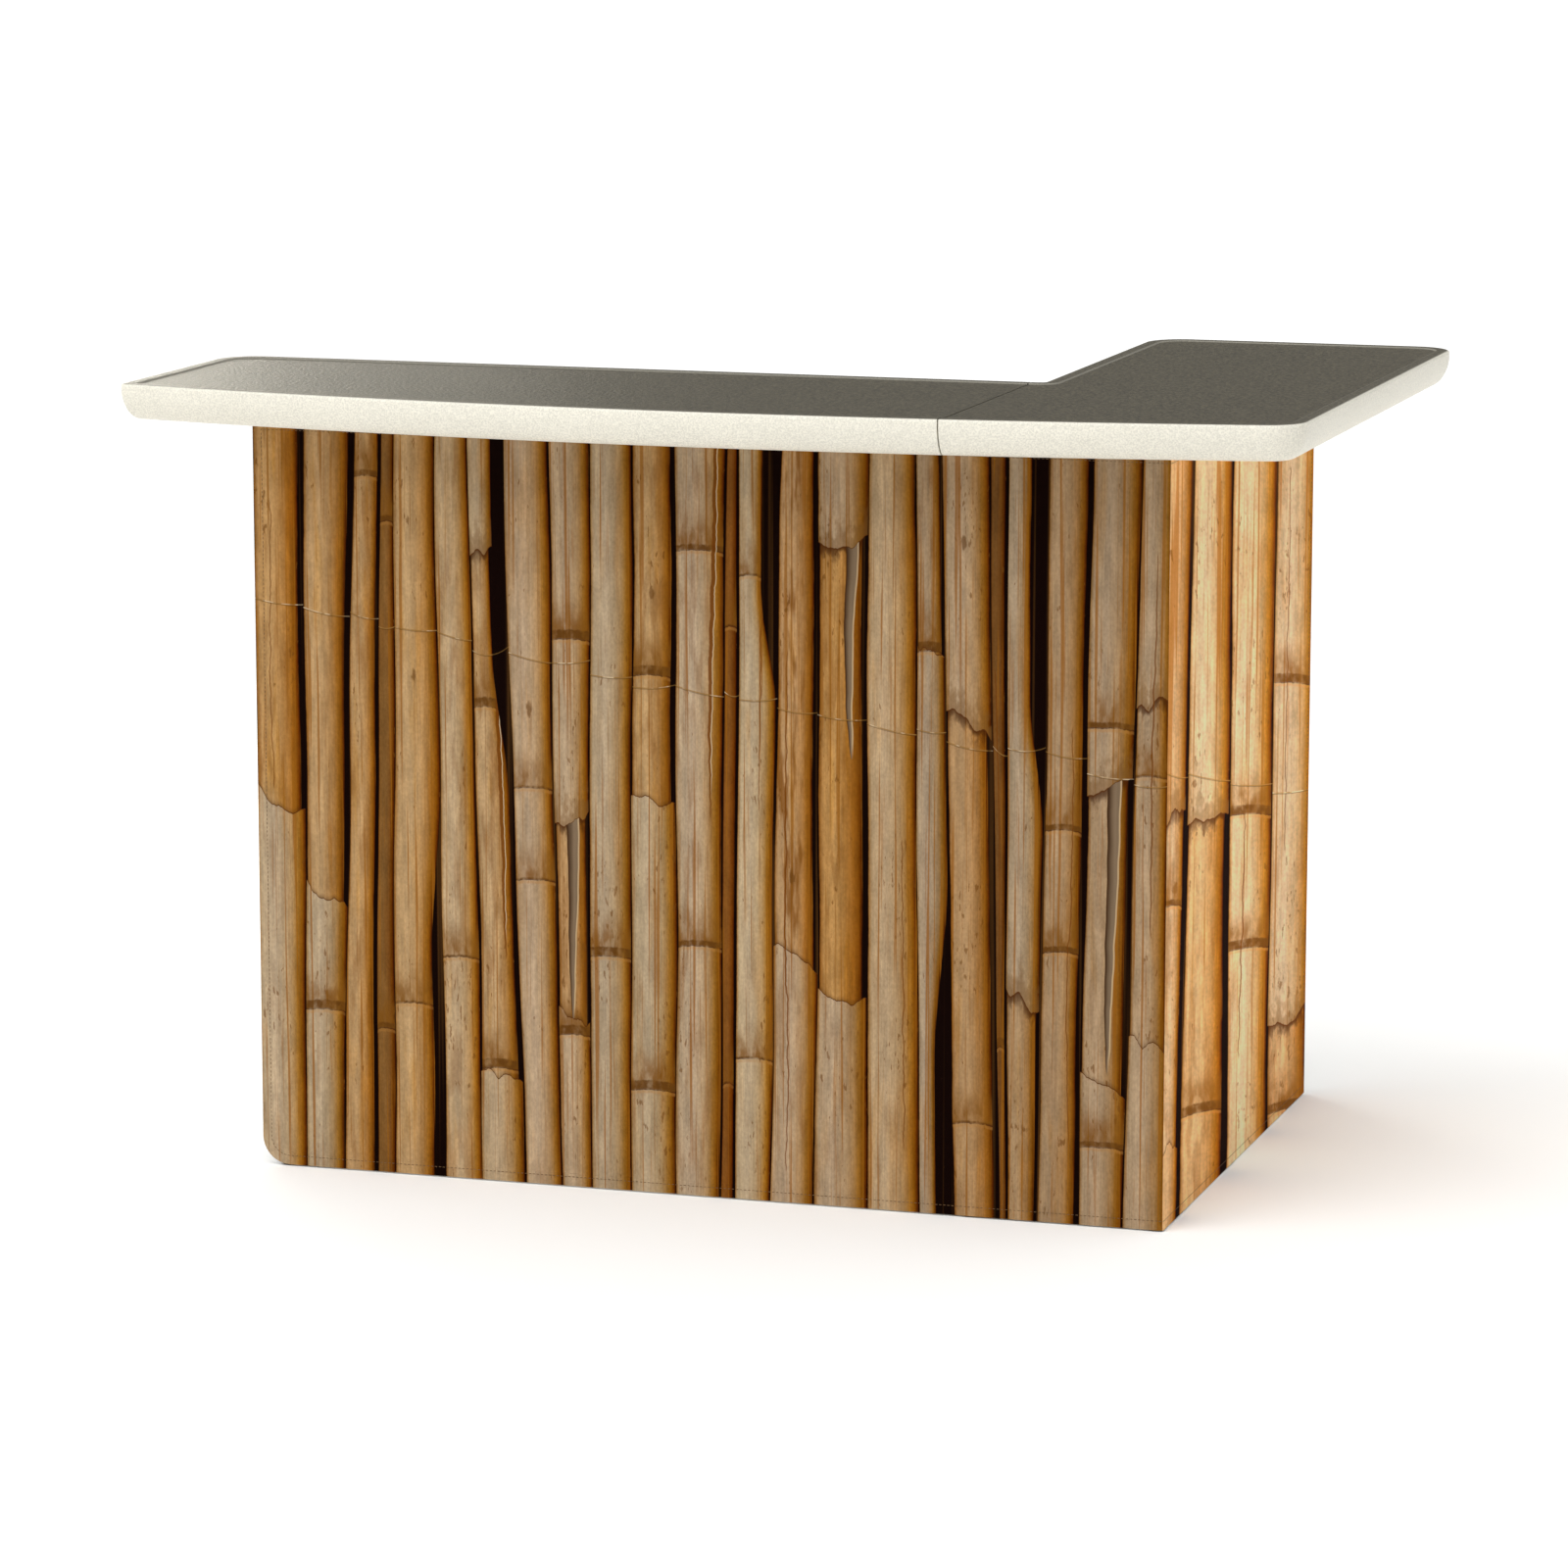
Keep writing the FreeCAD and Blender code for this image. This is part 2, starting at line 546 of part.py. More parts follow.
def side_hinges():
    """Three hinges between the corner stub and the side frame."""
    fixed = []
    moving = []
    pins = []
    leaf_x = (SIDE_AXIS_X - HINGE_LEAF / 2, SIDE_AXIS_X + HINGE_LEAF / 2)
    for level in (HINGE_LOW, HINGE_MIDDLE, HINGE_HIGH):
        place = Vector(SIDE_AXIS_X, SIDE_AXIS_Y, level)
        low, high, middle = knuckles(place, UP, HINGE_HEIGHT, HINGE_BARREL_RADIUS)
        bore = hinge_bore(place, UP, HINGE_HEIGHT)
        edge = SIDE_AXIS_Y - HINGE_BARREL_RADIUS - HINGE_KNUCKLE_GAP
        leaf = block(leaf_x, (STUB_BACK, edge), (level, level + HINGE_HEIGHT))
        tabs = []
        for knuckle in (low, high):
            box = knuckle.BoundBox
            tabs.append(block(leaf_x, (edge, SIDE_AXIS_Y), (box.ZMin, box.ZMax)))
        fixed.append(fuse([leaf, low, high] + tabs).cut(bore))
        box = middle.BoundBox
        web = block(leaf_x, (SIDE_AXIS_Y, SIDE_NEAR), (box.ZMin, box.ZMax))
        moving.append(fuse([middle, web]).cut(bore))
        pins.append(hinge_pin(place, UP, HINGE_HEIGHT))
    export("side_hinge_fixed_leaves", fixed)
    export("side_hinge_swing_knuckles", moving)
    export("side_hinge_pins", pins)


def side_frame():
    top = MOVING_TOP
    tube_top = top - CAP_THICKNESS
    posts_y = (SIDE_NEAR, SIDE_MIDDLE, SIDE_BACK - TUBE)
    direction = Vector(-1, 0, 0)
    places = sleeve_rivets(SIDE_INNER, GATE_AXIS_Y, direction)
    holes = Part.makeCompound([rivet_hole(place, direction) for place in places])
    for name, y in zip(("near", "middle", "rear"), posts_y):
        export(f"side_post_{name}", post(SIDE_INNER, y, TUBE, tube_top).cut(holes))
    bays = ((posts_y[0] + TUBE, posts_y[1]), (posts_y[1] + TUBE, posts_y[2]))
    for name, level in zip(("top", "middle", "bottom"), rail_levels(top, TUBE)):
        rails = [tube((SIDE_INNER, FRAME_RIGHT), bay, level, "y") for bay in bays]
        export(f"side_rails_{name}", rails)
    export("side_glides", [square_glide(SIDE_INNER, y, TUBE) for y in posts_y])
    export("side_post_caps", [square_cap(SIDE_INNER, y, TUBE, top) for y in posts_y])

    half = TUBE / 2 - TUBE_ROUND
    plate = ((SIDE_INNER - SLEEVE_PLATE, SIDE_INNER), (GATE_AXIS_Y - half, GATE_AXIS_Y + half))
    web = ((GATE_AXIS_X, SIDE_INNER), (GATE_AXIS_Y - SLEEVE_WEB / 2, GATE_AXIS_Y + SLEEVE_WEB / 2))
    sleeves = []
    for level in (SLEEVE_LOW, SLEEVE_HIGH):
        sleeves.append(sleeve(GATE_AXIS_X, GATE_AXIS_Y, level, plate, web).cut(holes))
    export("gate_sleeves", sleeves)
    export("sleeve_rivets_gate", [rivet(place, direction) for place in places])


def rear_gate():
    """Narrow end frame that stands across the back of the return."""
    top = MOVING_TOP
    tube_top = top - CAP_THICKNESS
    far_x = GATE_AXIS_X - GATE_WIDTH
    span_y = (GATE_AXIS_Y - WING_RADIUS, GATE_AXIS_Y + WING_RADIUS)
    round_end = Part.makeCylinder(WING_RADIUS, COUNTER_TOP, Vector(GATE_AXIS_X, GATE_AXIS_Y, 0), UP)
    rails = []
    for level in rail_levels(top, WING_TUBE):
        rails.append(tube((far_x + WING_TUBE, GATE_AXIS_X), span_y, level, "x").cut(round_end))
    export("gate_pivot_post", pivot_post(GATE_AXIS_X, GATE_AXIS_Y, tube_top))
    export("gate_far_post", post(far_x, span_y[0], WING_TUBE, tube_top))
    export("gate_rails", rails)
    export("gate_glides", [round_glide(GATE_AXIS_X, GATE_AXIS_Y), square_glide(far_x, span_y[0], WING_TUBE)])
    caps = [round_cap(GATE_AXIS_X, GATE_AXIS_Y, top), square_cap(far_x, span_y[0], WING_TUBE, top)]
    export("gate_post_caps", caps)


def shelf():
    """Hollow shelf that lifts up against the front frame on three hinges."""
    plate = block((SHELF_LEFT, SHELF_RIGHT), (SHELF_FRONT, SHELF_BACK), (SHELF_BOTTOM, SHELF_HEIGHT))
    upright = [e for e in plate.Edges if abs(e.tangentAt(e.FirstParameter).z) > 0.9]
    plate = plate.makeFillet(SHELF_CORNER_RADIUS, upright)
    inner_x = (SHELF_LEFT + SHELF_CORNER_RADIUS, SHELF_RIGHT - SHELF_CORNER_RADIUS)
    inner_y = (SHELF_FRONT + SHELF_CORNER_RADIUS, SHELF_BACK - SHELF_CORNER_RADIUS)
    cavity = block(inner_x, inner_y, (SHELF_BOTTOM + SHELF_WALL, SHELF_HEIGHT - SHELF_WALL))
    export("shelf", plate.cut(cavity))

    along = Vector(1, 0, 0)
    rail_leaves = []
    shelf_leaves = []
    pins = []
    first = SHELF_LEFT + SHELF_HINGE_MARGIN
    last = SHELF_RIGHT - SHELF_HINGE_MARGIN - SHELF_HINGE_WIDTH
    radius = SHELF_BARREL_RADIUS
    for i in range(SHELF_HINGE_COUNT):
        start = first + (last - first) * i / (SHELF_HINGE_COUNT - 1)
        place = Vector(start, SHELF_AXIS_Y, SHELF_AXIS_Z)
        low, high, middle = knuckles(place, along, SHELF_HINGE_WIDTH, radius)
        bore = hinge_bore(place, along, SHELF_HINGE_WIDTH)
        whole = (start, start + SHELF_HINGE_WIDTH)
        leaf_y = (FRAME_BACK, FRAME_BACK + SHELF_LEAF)
        leaf_top = SHELF_AXIS_Z - radius - HINGE_KNUCKLE_GAP
        leaf = block(whole, leaf_y, (MID_RAIL_TOP - TUBE, leaf_top))
        tabs = []
        for knuckle in (low, high):
            box = knuckle.BoundBox
            tabs.append(block((box.XMin, box.XMax), leaf_y, (leaf_top, MID_RAIL_TOP)))
        rail_leaves.append(fuse([leaf, low, high] + tabs).cut(bore))
        box = middle.BoundBox
        span = (box.XMin, box.XMax)
        drop = (SHELF_BOTTOM - SHELF_LEAF, SHELF_BOTTOM)
        web_y = (SHELF_FRONT - SHELF_LEAF, SHELF_FRONT)
        web = block(span, web_y, (drop[0], SHELF_AXIS_Z))
        under = block(span, (web_y[0], SHELF_FRONT + SHELF_LEAF_REACH), drop)
        shelf_leaves.append(fuse([middle, web, under]).cut(bore))
        pins.append(hinge_pin(place, along, SHELF_HINGE_WIDTH))
    export("shelf_hinge_rail_leaves", rail_leaves)
    export("shelf_hinge_shelf_leaves", shelf_leaves)
    export("shelf_hinge_pins", pins)


def skins():
    """Printed skin: front, the strip round the corner, and the side beyond the hinge."""
    tall = (SKIN_FLOOR_GAP, SKIN_TOP)
    front = block((SKIN_LEFT, SKIN_RIGHT), (SKIN_FRONT, SKIN_FRONT + SKIN_THICKNESS), tall)
    corner = []
    for edge in front.Edges:
        box = edge.BoundBox
        if box.YLength > SKIN_THICKNESS / 2 and box.XMax < SKIN_LEFT + 1 and box.ZMax < SKIN_FLOOR_GAP + 1:
            corner.append(edge)
    export("skin_front", front.makeFillet(SKIN_CORNER_RADIUS, corner))
    side_x = (SKIN_RIGHT - SKIN_THICKNESS, SKIN_RIGHT)
    export("skin_corner", block(side_x, (SKIN_FRONT + SKIN_THICKNESS, SIDE_AXIS_Y - SKIN_SLIT), tall))
    export("skin_side", block(side_x, (SIDE_AXIS_Y, SKIN_BACK), tall))


def tapes():
    """Hook-and-loop tape on the frame's outer faces, which the skin is pressed onto."""
    margin = (TUBE - TAPE_WIDTH) / 2
    front_y = (SKIN_FRONT + SKIN_THICKNESS, FRAME_FRONT)
    side_x = (FRAME_RIGHT, SKIN_RIGHT - SKIN_THICKNESS)
    bands = []
    for low, high in (rail_levels(UNDERSIDE, TUBE)[0], rail_levels(UNDERSIDE, TUBE)[2]):
        bands.append((low + margin, high - margin))
    bands = [(low, min(high, SKIN_TOP)) for low, high in bands]
    rise = (bands[1][1], bands[0][0])
    front = [block((FRAME_LEFT, FRAME_RIGHT), front_y, band) for band in bands]
    for x in (POSTS_X[0], POSTS_X[2]):
        front.append(block((x + margin, x + TUBE - margin), front_y, rise))
    stub = [block(side_x, (FRAME_FRONT, STUB_BACK), band) for band in bands]
    side = [block(side_x, (SIDE_NEAR, SIDE_BACK), band) for band in bands]
    rear = SIDE_BACK - TUBE
    side.append(block(side_x, (rear + margin, rear + TUBE - margin), rise))
    export("hook_tape_front", front)
    export("hook_tape_corner", stub)
    export("hook_tape_side", side)


def main():
    os.makedirs("parts", exist_ok=True)
    counters()
    front_frame()
    wing("left_wing", LEFT_AXIS_X, 1)
    wing("seam_wing", MID_AXIS_X, -1)
    side_hinges()
    side_frame()
    rear_gate()
    shelf()
    skins()
    tapes()
    axes = {
        "left_wing_fold": (LEFT_AXIS_X, WING_AXIS_Y, 0),
        "seam_wing_fold": (MID_AXIS_X, WING_AXIS_Y, 0),
        "side_fold": (SIDE_AXIS_X, SIDE_AXIS_Y, 0),
        "gate_fold": (GATE_AXIS_X, GATE_AXIS_Y, 0),
        "shelf_fold": ((SHELF_LEFT + SHELF_RIGHT) / 2, SHELF_AXIS_Y, SHELF_AXIS_Z),
    }
    for name, place in axes.items():
        point = Vector(*place) + ORIGIN
        print(f"{name} axis through {point.x:.2f} {point.y:.2f} {point.z:.2f}")


main()
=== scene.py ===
# %% [markdown]
# A portable patio bar: two moulded counters, set in an L, stand on a folding frame of tube,
# and a printed fabric skin with a picture of canes is pressed onto the front and one side.
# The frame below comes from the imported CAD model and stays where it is. This lesson gives
# each part of it a finish, and makes finer pieces where a finish alone isn't enough.

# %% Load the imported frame
import math

import bmesh
import bpy
import numpy as np
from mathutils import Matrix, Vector
from mathutils.geometry import delaunay_2d_cdt


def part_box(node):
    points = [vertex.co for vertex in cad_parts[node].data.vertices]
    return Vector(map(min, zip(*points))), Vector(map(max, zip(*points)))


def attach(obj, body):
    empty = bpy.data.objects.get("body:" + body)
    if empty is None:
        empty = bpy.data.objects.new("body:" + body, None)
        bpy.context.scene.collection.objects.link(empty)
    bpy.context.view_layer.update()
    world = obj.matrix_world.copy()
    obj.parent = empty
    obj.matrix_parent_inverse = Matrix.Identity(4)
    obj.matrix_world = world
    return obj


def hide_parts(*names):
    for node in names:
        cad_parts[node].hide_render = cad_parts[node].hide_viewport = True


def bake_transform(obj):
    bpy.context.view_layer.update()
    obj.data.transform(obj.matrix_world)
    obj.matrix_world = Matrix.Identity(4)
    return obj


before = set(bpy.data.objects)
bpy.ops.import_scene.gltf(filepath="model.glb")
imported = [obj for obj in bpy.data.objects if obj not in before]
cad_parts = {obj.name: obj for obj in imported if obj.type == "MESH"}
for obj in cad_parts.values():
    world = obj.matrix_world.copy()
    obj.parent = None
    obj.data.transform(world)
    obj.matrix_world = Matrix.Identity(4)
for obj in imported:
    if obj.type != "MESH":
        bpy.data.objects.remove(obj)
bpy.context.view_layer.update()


# %% Add an object to the scene
def add_object(name, data):
    thing = bpy.data.objects.new(name, data)
    bpy.context.scene.collection.objects.link(thing)
    return thing


# %% [markdown]
# The camera comes first, so that every piece can be checked through it. The bar is seen from
# the customers' side, a little from the right and from above. Its place and lens were worked
# out from the straight edges of the counter and the skin, so the lens is long: the camera
# stands more than eight metres away.

# %% Camera
camera_data = bpy.data.cameras.new("camera")
camera_data.lens = 138.3
camera_data.sensor_width = 36.0
camera = add_object("camera", camera_data)
camera.location = (2.4199, -7.7623, 1.9386)
camera.rotation_euler = (math.pi / 2 - 0.1757, 0, 0.3044)
bpy.context.scene.camera = camera
print("camera distance:", round(camera.location.length, 2), "m")

# %% [markdown]
# Colours are easiest to choose as they look on a screen, from 0 to 255, but Blender mixes
# light and needs them on its own straight scale. One small function turns one into the other.
# The picture is shown with the plain "Standard" curve, so that the colours stay as chosen.

# %% Colour helper
bpy.context.scene.view_settings.view_transform = "Standard"


def paint(red, green, blue):
    """A colour as seen on a screen, 0 to 255, as Blender's straight red, green, blue, alpha."""
    straight = []
    for value in (red, green, blue):
        share = value / 255
        straight.append(share / 12.92 if share <= 0.04045 else ((share + 0.055) / 1.055) ** 2.4)
    return (*straight, 1.0)


print("cream:", [round(x, 3) for x in paint(245, 241, 228)])

# %% [markdown]
# Both materials and Geometry Nodes are graphs of nodes. Writing them link by link is slow to
# read, so two small classes help. A Wire is one output of a node, and + - * / on it add Math
# nodes. A Graph adds any other node from its type, its settings and what goes into its sockets.

# %% Wires: sums written as Python
class Wire:
    """One output of a node. Sums on it add Math nodes to its graph."""

    def __init__(self, graph, socket):
        self.graph = graph
        self.socket = socket

    def maths(self, operation, first, second):
        return self.graph.add("ShaderNodeMath", {"operation": operation}, {0: first, 1: second})


# %% The four signs, both ways round, as in wire * 2 and 2 * wire
SIGNS = {"add": "ADD", "sub": "SUBTRACT", "mul": "MULTIPLY", "truediv": "DIVIDE"}
for sign, node in SIGNS.items():
    setattr(Wire, f"__{sign}__", lambda self, other, n=node: self.maths(n, self, other))
    setattr(Wire, f"__r{sign}__", lambda self, other, n=node: self.maths(n, other, self))

# %% Sums with a name, as in abs(wire), wire.sine() and wire.largest(other)
NAMED = {
    "__abs__": "ABSOLUTE", "root": "SQRT", "sine": "SINE",
    "largest": "MAXIMUM", "smallest": "MINIMUM",
}
for name, node in NAMED.items():
    setattr(Wire, name, lambda self, other=0.0, n=node: self.maths(n, self, other))
print("a wire knows", len(SIGNS) + len(NAMED), "sums")


# %% Graphs: any other node
class Graph:
    """A tree of nodes that is filled from Python."""

    def __init__(self, tree):
        self.tree = tree

    @staticmethod
    def find(sockets, key):
        if isinstance(key, int):
            return sockets[key]
        return next(s for s in sockets if key in (s.identifier, s.name))

    def add(self, kind, settings=None, sockets=None, out=0):
        """A node of this kind. Settings come first, then values or wires for its sockets."""
        node = self.tree.nodes.new(kind)
        for name, value in (settings or {}).items():
            if name == "stops":
                self.set_stops(node.color_ramp, value)
            else:
                setattr(node, name, value)
        for key, value in (sockets or {}).items():
            socket = self.find(node.inputs, key)
            for one in value if isinstance(value, list) else [value]:
                if isinstance(one, Wire):
                    self.tree.links.new(one.socket, socket)
                else:
                    socket.default_value = one
        if isinstance(out, tuple):
            return [Wire(self, self.find(node.outputs, key)) for key in out]
        return Wire(self, self.find(node.outputs, out))

    def end(self, kind, wire):
        """The node that a graph ends in, fed by this wire."""
        last = self.tree.nodes.new(kind)
        self.tree.links.new(wire.socket, last.inputs[0])

    @staticmethod
    def set_stops(ramp, stops):
        while len(ramp.elements) > 1:
            ramp.elements.remove(ramp.elements[0])
        ramp.elements[0].position = stops[0][0]
        ramp.elements[0].color = paint(*stops[0][1:])
        for position, *colour in stops[1:]:
            ramp.elements.new(position).color = paint(*colour)

    def ease(self, value, low, high, start=0.0, end=1.0):
        """A soft step: start below low, end above high."""
        limits = {"From Min": low, "From Max": high, "To Min": start, "To Max": end}
        settings = {"interpolation_type": "SMOOTHSTEP"}
        return self.add("ShaderNodeMapRange", settings, {"Value": value, **limits})


# %% Finishes: a graph that ends in one surface
class Finish(Graph):
    """A material with one Principled surface, and short names for the nodes it uses most."""

    def __init__(self, name):
        self.material = bpy.data.materials.new(name)
        self.material.use_nodes = True
        super().__init__(self.material.node_tree)
        self.tree.nodes.clear()
        self.place = self.add("ShaderNodeTexCoord", out="Object")

    def attribute(self, name):
        return self.add("ShaderNodeAttribute", {"attribute_name": name}, out="Fac")

    def join(self, x, y, z=0.0):
        return self.add("ShaderNodeCombineXYZ", sockets={0: x, 1: y, 2: z})

    def each(self, operation, first, second):
        """A sum on each of the three parts of a place or a colour."""
        return self.add("ShaderNodeVectorMath", {"operation": operation}, {0: first, 1: second})

    def brighten(self, colour, factor):
        sockets = {0: colour, "Scale": factor}
        return self.add("ShaderNodeVectorMath", {"operation": "SCALE"}, sockets)

    def noise(self, scale, detail=2.0, place=None):
        """Noise with this many changes for each metre, on the object or on another place."""
        sockets = {"Vector": place or self.place, "Scale": scale, "Detail": detail}
        return self.add("ShaderNodeTexNoise", sockets=sockets)

    def drawn_noise(self, scale, detail, factors):
        """Noise that is drawn out where a factor of its place is small, such as brush marks."""
        return self.noise(scale, detail, self.each("MULTIPLY", self.place, factors))

    def cells(self, scale):
        return self.add("ShaderNodeTexVoronoi", sockets={"Vector": self.place, "Scale": scale})

    def ramp(self, value, stops):
        """A colour for every value from 0 to 1. A stop is a value and its screen colour."""
        return self.add("ShaderNodeValToRGB", {"stops": stops}, {0: value}, out="Color")

    def mix(self, first, second, share):
        sockets = {"Factor_Float": share, "A_Color": first, "B_Color": second}
        return self.add("ShaderNodeMix", {"data_type": "RGBA"}, sockets, out="Result_Color")

    def coats(self, colour, *coats):
        """Coats of paint on a colour, one after another, each where its mask is 1."""
        for shown, mask in coats:
            colour = self.mix(colour, paint(*shown), mask)
        return colour

    def bump(self, height, distance, strength):
        sockets = {"Height": height, "Distance": distance, "Strength": strength}
        return self.add("ShaderNodeBump", sockets=sockets, out="Normal")

    def fade(self, value, low, high, start=1.0):
        """A soft step down: start below low, nothing above high."""
        return self.ease(value, low, high, start, 0.0)

    def near(self, distance, reach, soft):
        """1 within reach of a line, and 0 from reach + soft on."""
        return self.fade(abs(distance), reach, reach + soft)

    def between(self, value, low, high, soft):
        """1 from low to high, with soft ends inside that range."""
        return self.ease(value, low, low + soft) * self.fade(value, high - soft, high)

    def weave(self, fineness):
        """Threads both ways, from a sheet's own two measures."""
        run, height = self.attribute("run"), self.attribute("height")
        return (run * fineness).sine() * (height * fineness).sine()

    def surface(self, colour, roughness, normal=None, shine=0.5, metallic=0.0):
        """The surface itself. Shine is how strongly it mirrors: 0.5 is a common plastic."""
        sockets = {"Base Color": colour, "Roughness": roughness, "Metallic": metallic}
        sockets["Specular IOR Level"] = shine
        if normal is not None:
            sockets["Normal"] = normal
        shader = self.add("ShaderNodeBsdfPrincipled", sockets=sockets, out="BSDF")
        self.end("ShaderNodeOutputMaterial", shader)
        print(f"finish {self.material.name}: {len(self.tree.nodes)} nodes")
        return self.material


# %% [markdown]
# The counters are blow-moulded plastic. Their skin is cream, with a fine grain from the mould,
# and the wide top is painted a warm grey: painted shade, the cream top as it looks in shade. The
# mesh of each counter carries a value called "top_tone", the amount of painted shade, 1 on the
# upper faces and 0 on the rim, and the material mixes cream and the painted grey by it. Small
# noise gives the speckle and a bump of the same size gives the grain. The field inside the lip
# also has coarser pebbles.

# %% Counter plastic
def counter_plastic():
    f = Finish("counter_shell")
    tone = f.attribute("top_tone")
    field = f.ease(tone, 0.86, 1.0)
    grain, patches = f.noise(460.0), f.noise(9.0)
    pebbles, waves = f.noise(210.0, 4.0), f.noise(14.0, 1.0)
    speckle = f.ease(grain, 0.32, 0.68, 0.88, 1.1) * f.ease(patches, 0.2, 0.8, 0.985, 1.015)
    speckle = speckle * (f.ease(pebbles, 0.38, 0.62, 0.62, 1.32) * field + 1.0 - field)
    # The grey is painted shade: the cream plastic of the top as it looks in shade.
    cream, grey = paint(232, 228, 214), paint(76, 71, 57)
    colour = f.brighten(f.mix(cream, grey, tone), speckle)
    roughness = f.ease(grain, 0.25, 0.75, 0.36, 0.5)
    relief = grain + waves * 4.0 + pebbles * field * 12.0
    return f.surface(colour, roughness, f.bump(relief, 0.00025, 0.55), shine=0.2)


counter_finish = counter_plastic()

# %% [markdown]
# The counters' plan is one outline: a bowed front, straight sides, rounded outer corners and
# one tight inner corner. Only the front left corner is nearly sharp, like the bow of a boat.
# Moved inwards by the same amount everywhere, it gives a smaller outline, and a stack of such
# outlines at different heights is the whole counter, with its hull-shaped rim. So a plan is
# written as a function of how far in it lies.

# %% Sizes of the counters, read from the frame
long_low, long_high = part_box("counter_long")
return_low, return_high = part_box("counter_return")
UNDERSIDE, COUNTER_TOP = long_low.z, long_high.z
BAR_LEFT, BAR_RIGHT, BAR_BACK = long_low.x, return_high.x, return_high.y
LONG_BACK = long_high.y
CUT_LONG, CUT_RETURN = long_high.x, return_low.x
SEAM_TO_INNER_CORNER = 0.0165
RETURN_LEFT = CUT_RETURN + SEAM_TO_INNER_CORNER
BOW = 0.085
RETURN_DEPTH = 0.990
FRONT_CORNER = BAR_BACK - RETURN_DEPTH
BOW_RADIUS = ((BAR_RIGHT - BAR_LEFT) ** 2 / 4 + BOW ** 2) / (2 * BOW)
BOW_CENTRE = Vector(((BAR_LEFT + BAR_RIGHT) / 2, FRONT_CORNER - BOW + BOW_RADIUS))
print("bow radius:", round(BOW_RADIUS, 3), "m, seam from x", round(CUT_LONG, 4))

# %% The parts of an outline, with its outward directions
QUARTER = math.pi / 2


def steps_between(low, high, count):
    """Values from low to high in this many even steps."""
    return [low + (high - low) * i / count for i in range(count + 1)]


def corner_arc(centre, radius, start, turn, steps=14):
    """Points of a rounded corner. A hollow corner turns the other way and points inwards."""
    points = []
    for i in range(steps + 1):
        angle = start + turn * i / steps
        way = Vector((math.cos(angle), math.sin(angle)))
        points.append((centre + way * radius, way if turn < 0 else -way))
    return points


def inside_bow(x, reach):
    """The point at x that lies this far inside the bow."""
    radius = BOW_RADIUS - reach
    return Vector((x, BOW_CENTRE.y - math.sqrt(radius ** 2 - (x - BOW_CENTRE.x) ** 2)))


def bow_points(right, left, steps):
    """Points of the bowed front, from right to left."""
    points = [inside_bow(x, 0.0) for x in steps_between(right, left, steps)]
    return [(point, (point - BOW_CENTRE).normalized()) for point in points]


def bow_angle(centre):
    way = centre - BOW_CENTRE
    return math.atan2(way.y, way.x)


def onto_bow(centre):
    """Where the curve of a front corner leaves the bow."""
    return (centre - BOW_CENTRE).normalized() * BOW_RADIUS + BOW_CENTRE


def moved_in(outline, inset):
    return [point - way * inset for point, way in outline]


# %% The long counter's plan
CORNER = 0.055
TIGHT_CORNER, TIGHTEST = 0.011, 0.0006
INNER_CORNER = 0.008
SEAM_MARGIN = 0.012
back_left_centre = Vector((BAR_LEFT + CORNER, LONG_BACK - CORNER))
back_left = corner_arc(back_left_centre, CORNER, math.pi, -QUARTER)


def long_plan(inset):
    """This far in: from the seam along the bow, round the tight corner, along the back."""
    radius = max(TIGHT_CORNER - inset, TIGHTEST)
    centre = inside_bow(BAR_LEFT + inset + radius, inset + radius)
    tight = corner_arc(centre, radius, bow_angle(centre), -math.pi - bow_angle(centre))
    bow = bow_points(CUT_LONG - SEAM_MARGIN, onto_bow(centre).x, 60)[:-1]
    outline = moved_in(bow, inset) + moved_in(tight, 0.0) + moved_in(back_left, inset)
    return [inside_bow(CUT_LONG, inset)] + outline + [Vector((CUT_LONG, LONG_BACK - inset))]


print("long counter's plan:", len(long_plan(0.0)), "points")

# %% The return's plan
inner_centre = Vector((RETURN_LEFT - INNER_CORNER, LONG_BACK + INNER_CORNER))
return_outline = corner_arc(inner_centre, INNER_CORNER, -QUARTER, QUARTER, 6)
for x, start in ((RETURN_LEFT + CORNER, math.pi), (BAR_RIGHT - CORNER, QUARTER)):
    return_outline += corner_arc(Vector((x, BAR_BACK - CORNER)), CORNER, start, -QUARTER)
right_centre = inside_bow(BAR_RIGHT - CORNER, CORNER)
return_outline += corner_arc(right_centre, CORNER, 0.0, bow_angle(right_centre))
return_outline += bow_points(onto_bow(right_centre).x, CUT_RETURN + SEAM_MARGIN, 24)[1:]


def return_plan(inset):
    """This far in: from the seam round the return's back and along the bow to the seam."""
    outline = moved_in(return_outline, inset)
    return [Vector((CUT_RETURN, LONG_BACK - inset))] + outline + [inside_bow(CUT_RETURN, inset)]


print("return's plan:", len(return_plan(0.0)), "points")

# %% The rim's profile: how far in, how far down, and the painted top shade there
HULL_REACH, HULL_SLOPE, HULL_TOP = 0.024, 0.8, 0.011
FOOT = 0.0262
# Tones are painted shade: it grows over the rounded top edge, and the step's lower tone is a
# painted highlight on its slope.
EDGE_ROUND, EDGE_TONES = 0.0034, (0.0, 0.0, 0.02, 0.14, 0.45, 0.8)
LIP = [(0.0046, 0.0, 0.95), (0.0070, 0.0, 0.98), (0.0170, 0.0, 0.98), (0.0180, 0.0, 0.9)]
STEP = [(0.0186, 0.0002, 0.76), (0.0195, 0.0013, 0.76), (0.0200, 0.0016, 0.92)]
FIELD = [(0.0207, 0.0017, 1.0), (0.0222, 0.0017, 1.0)]


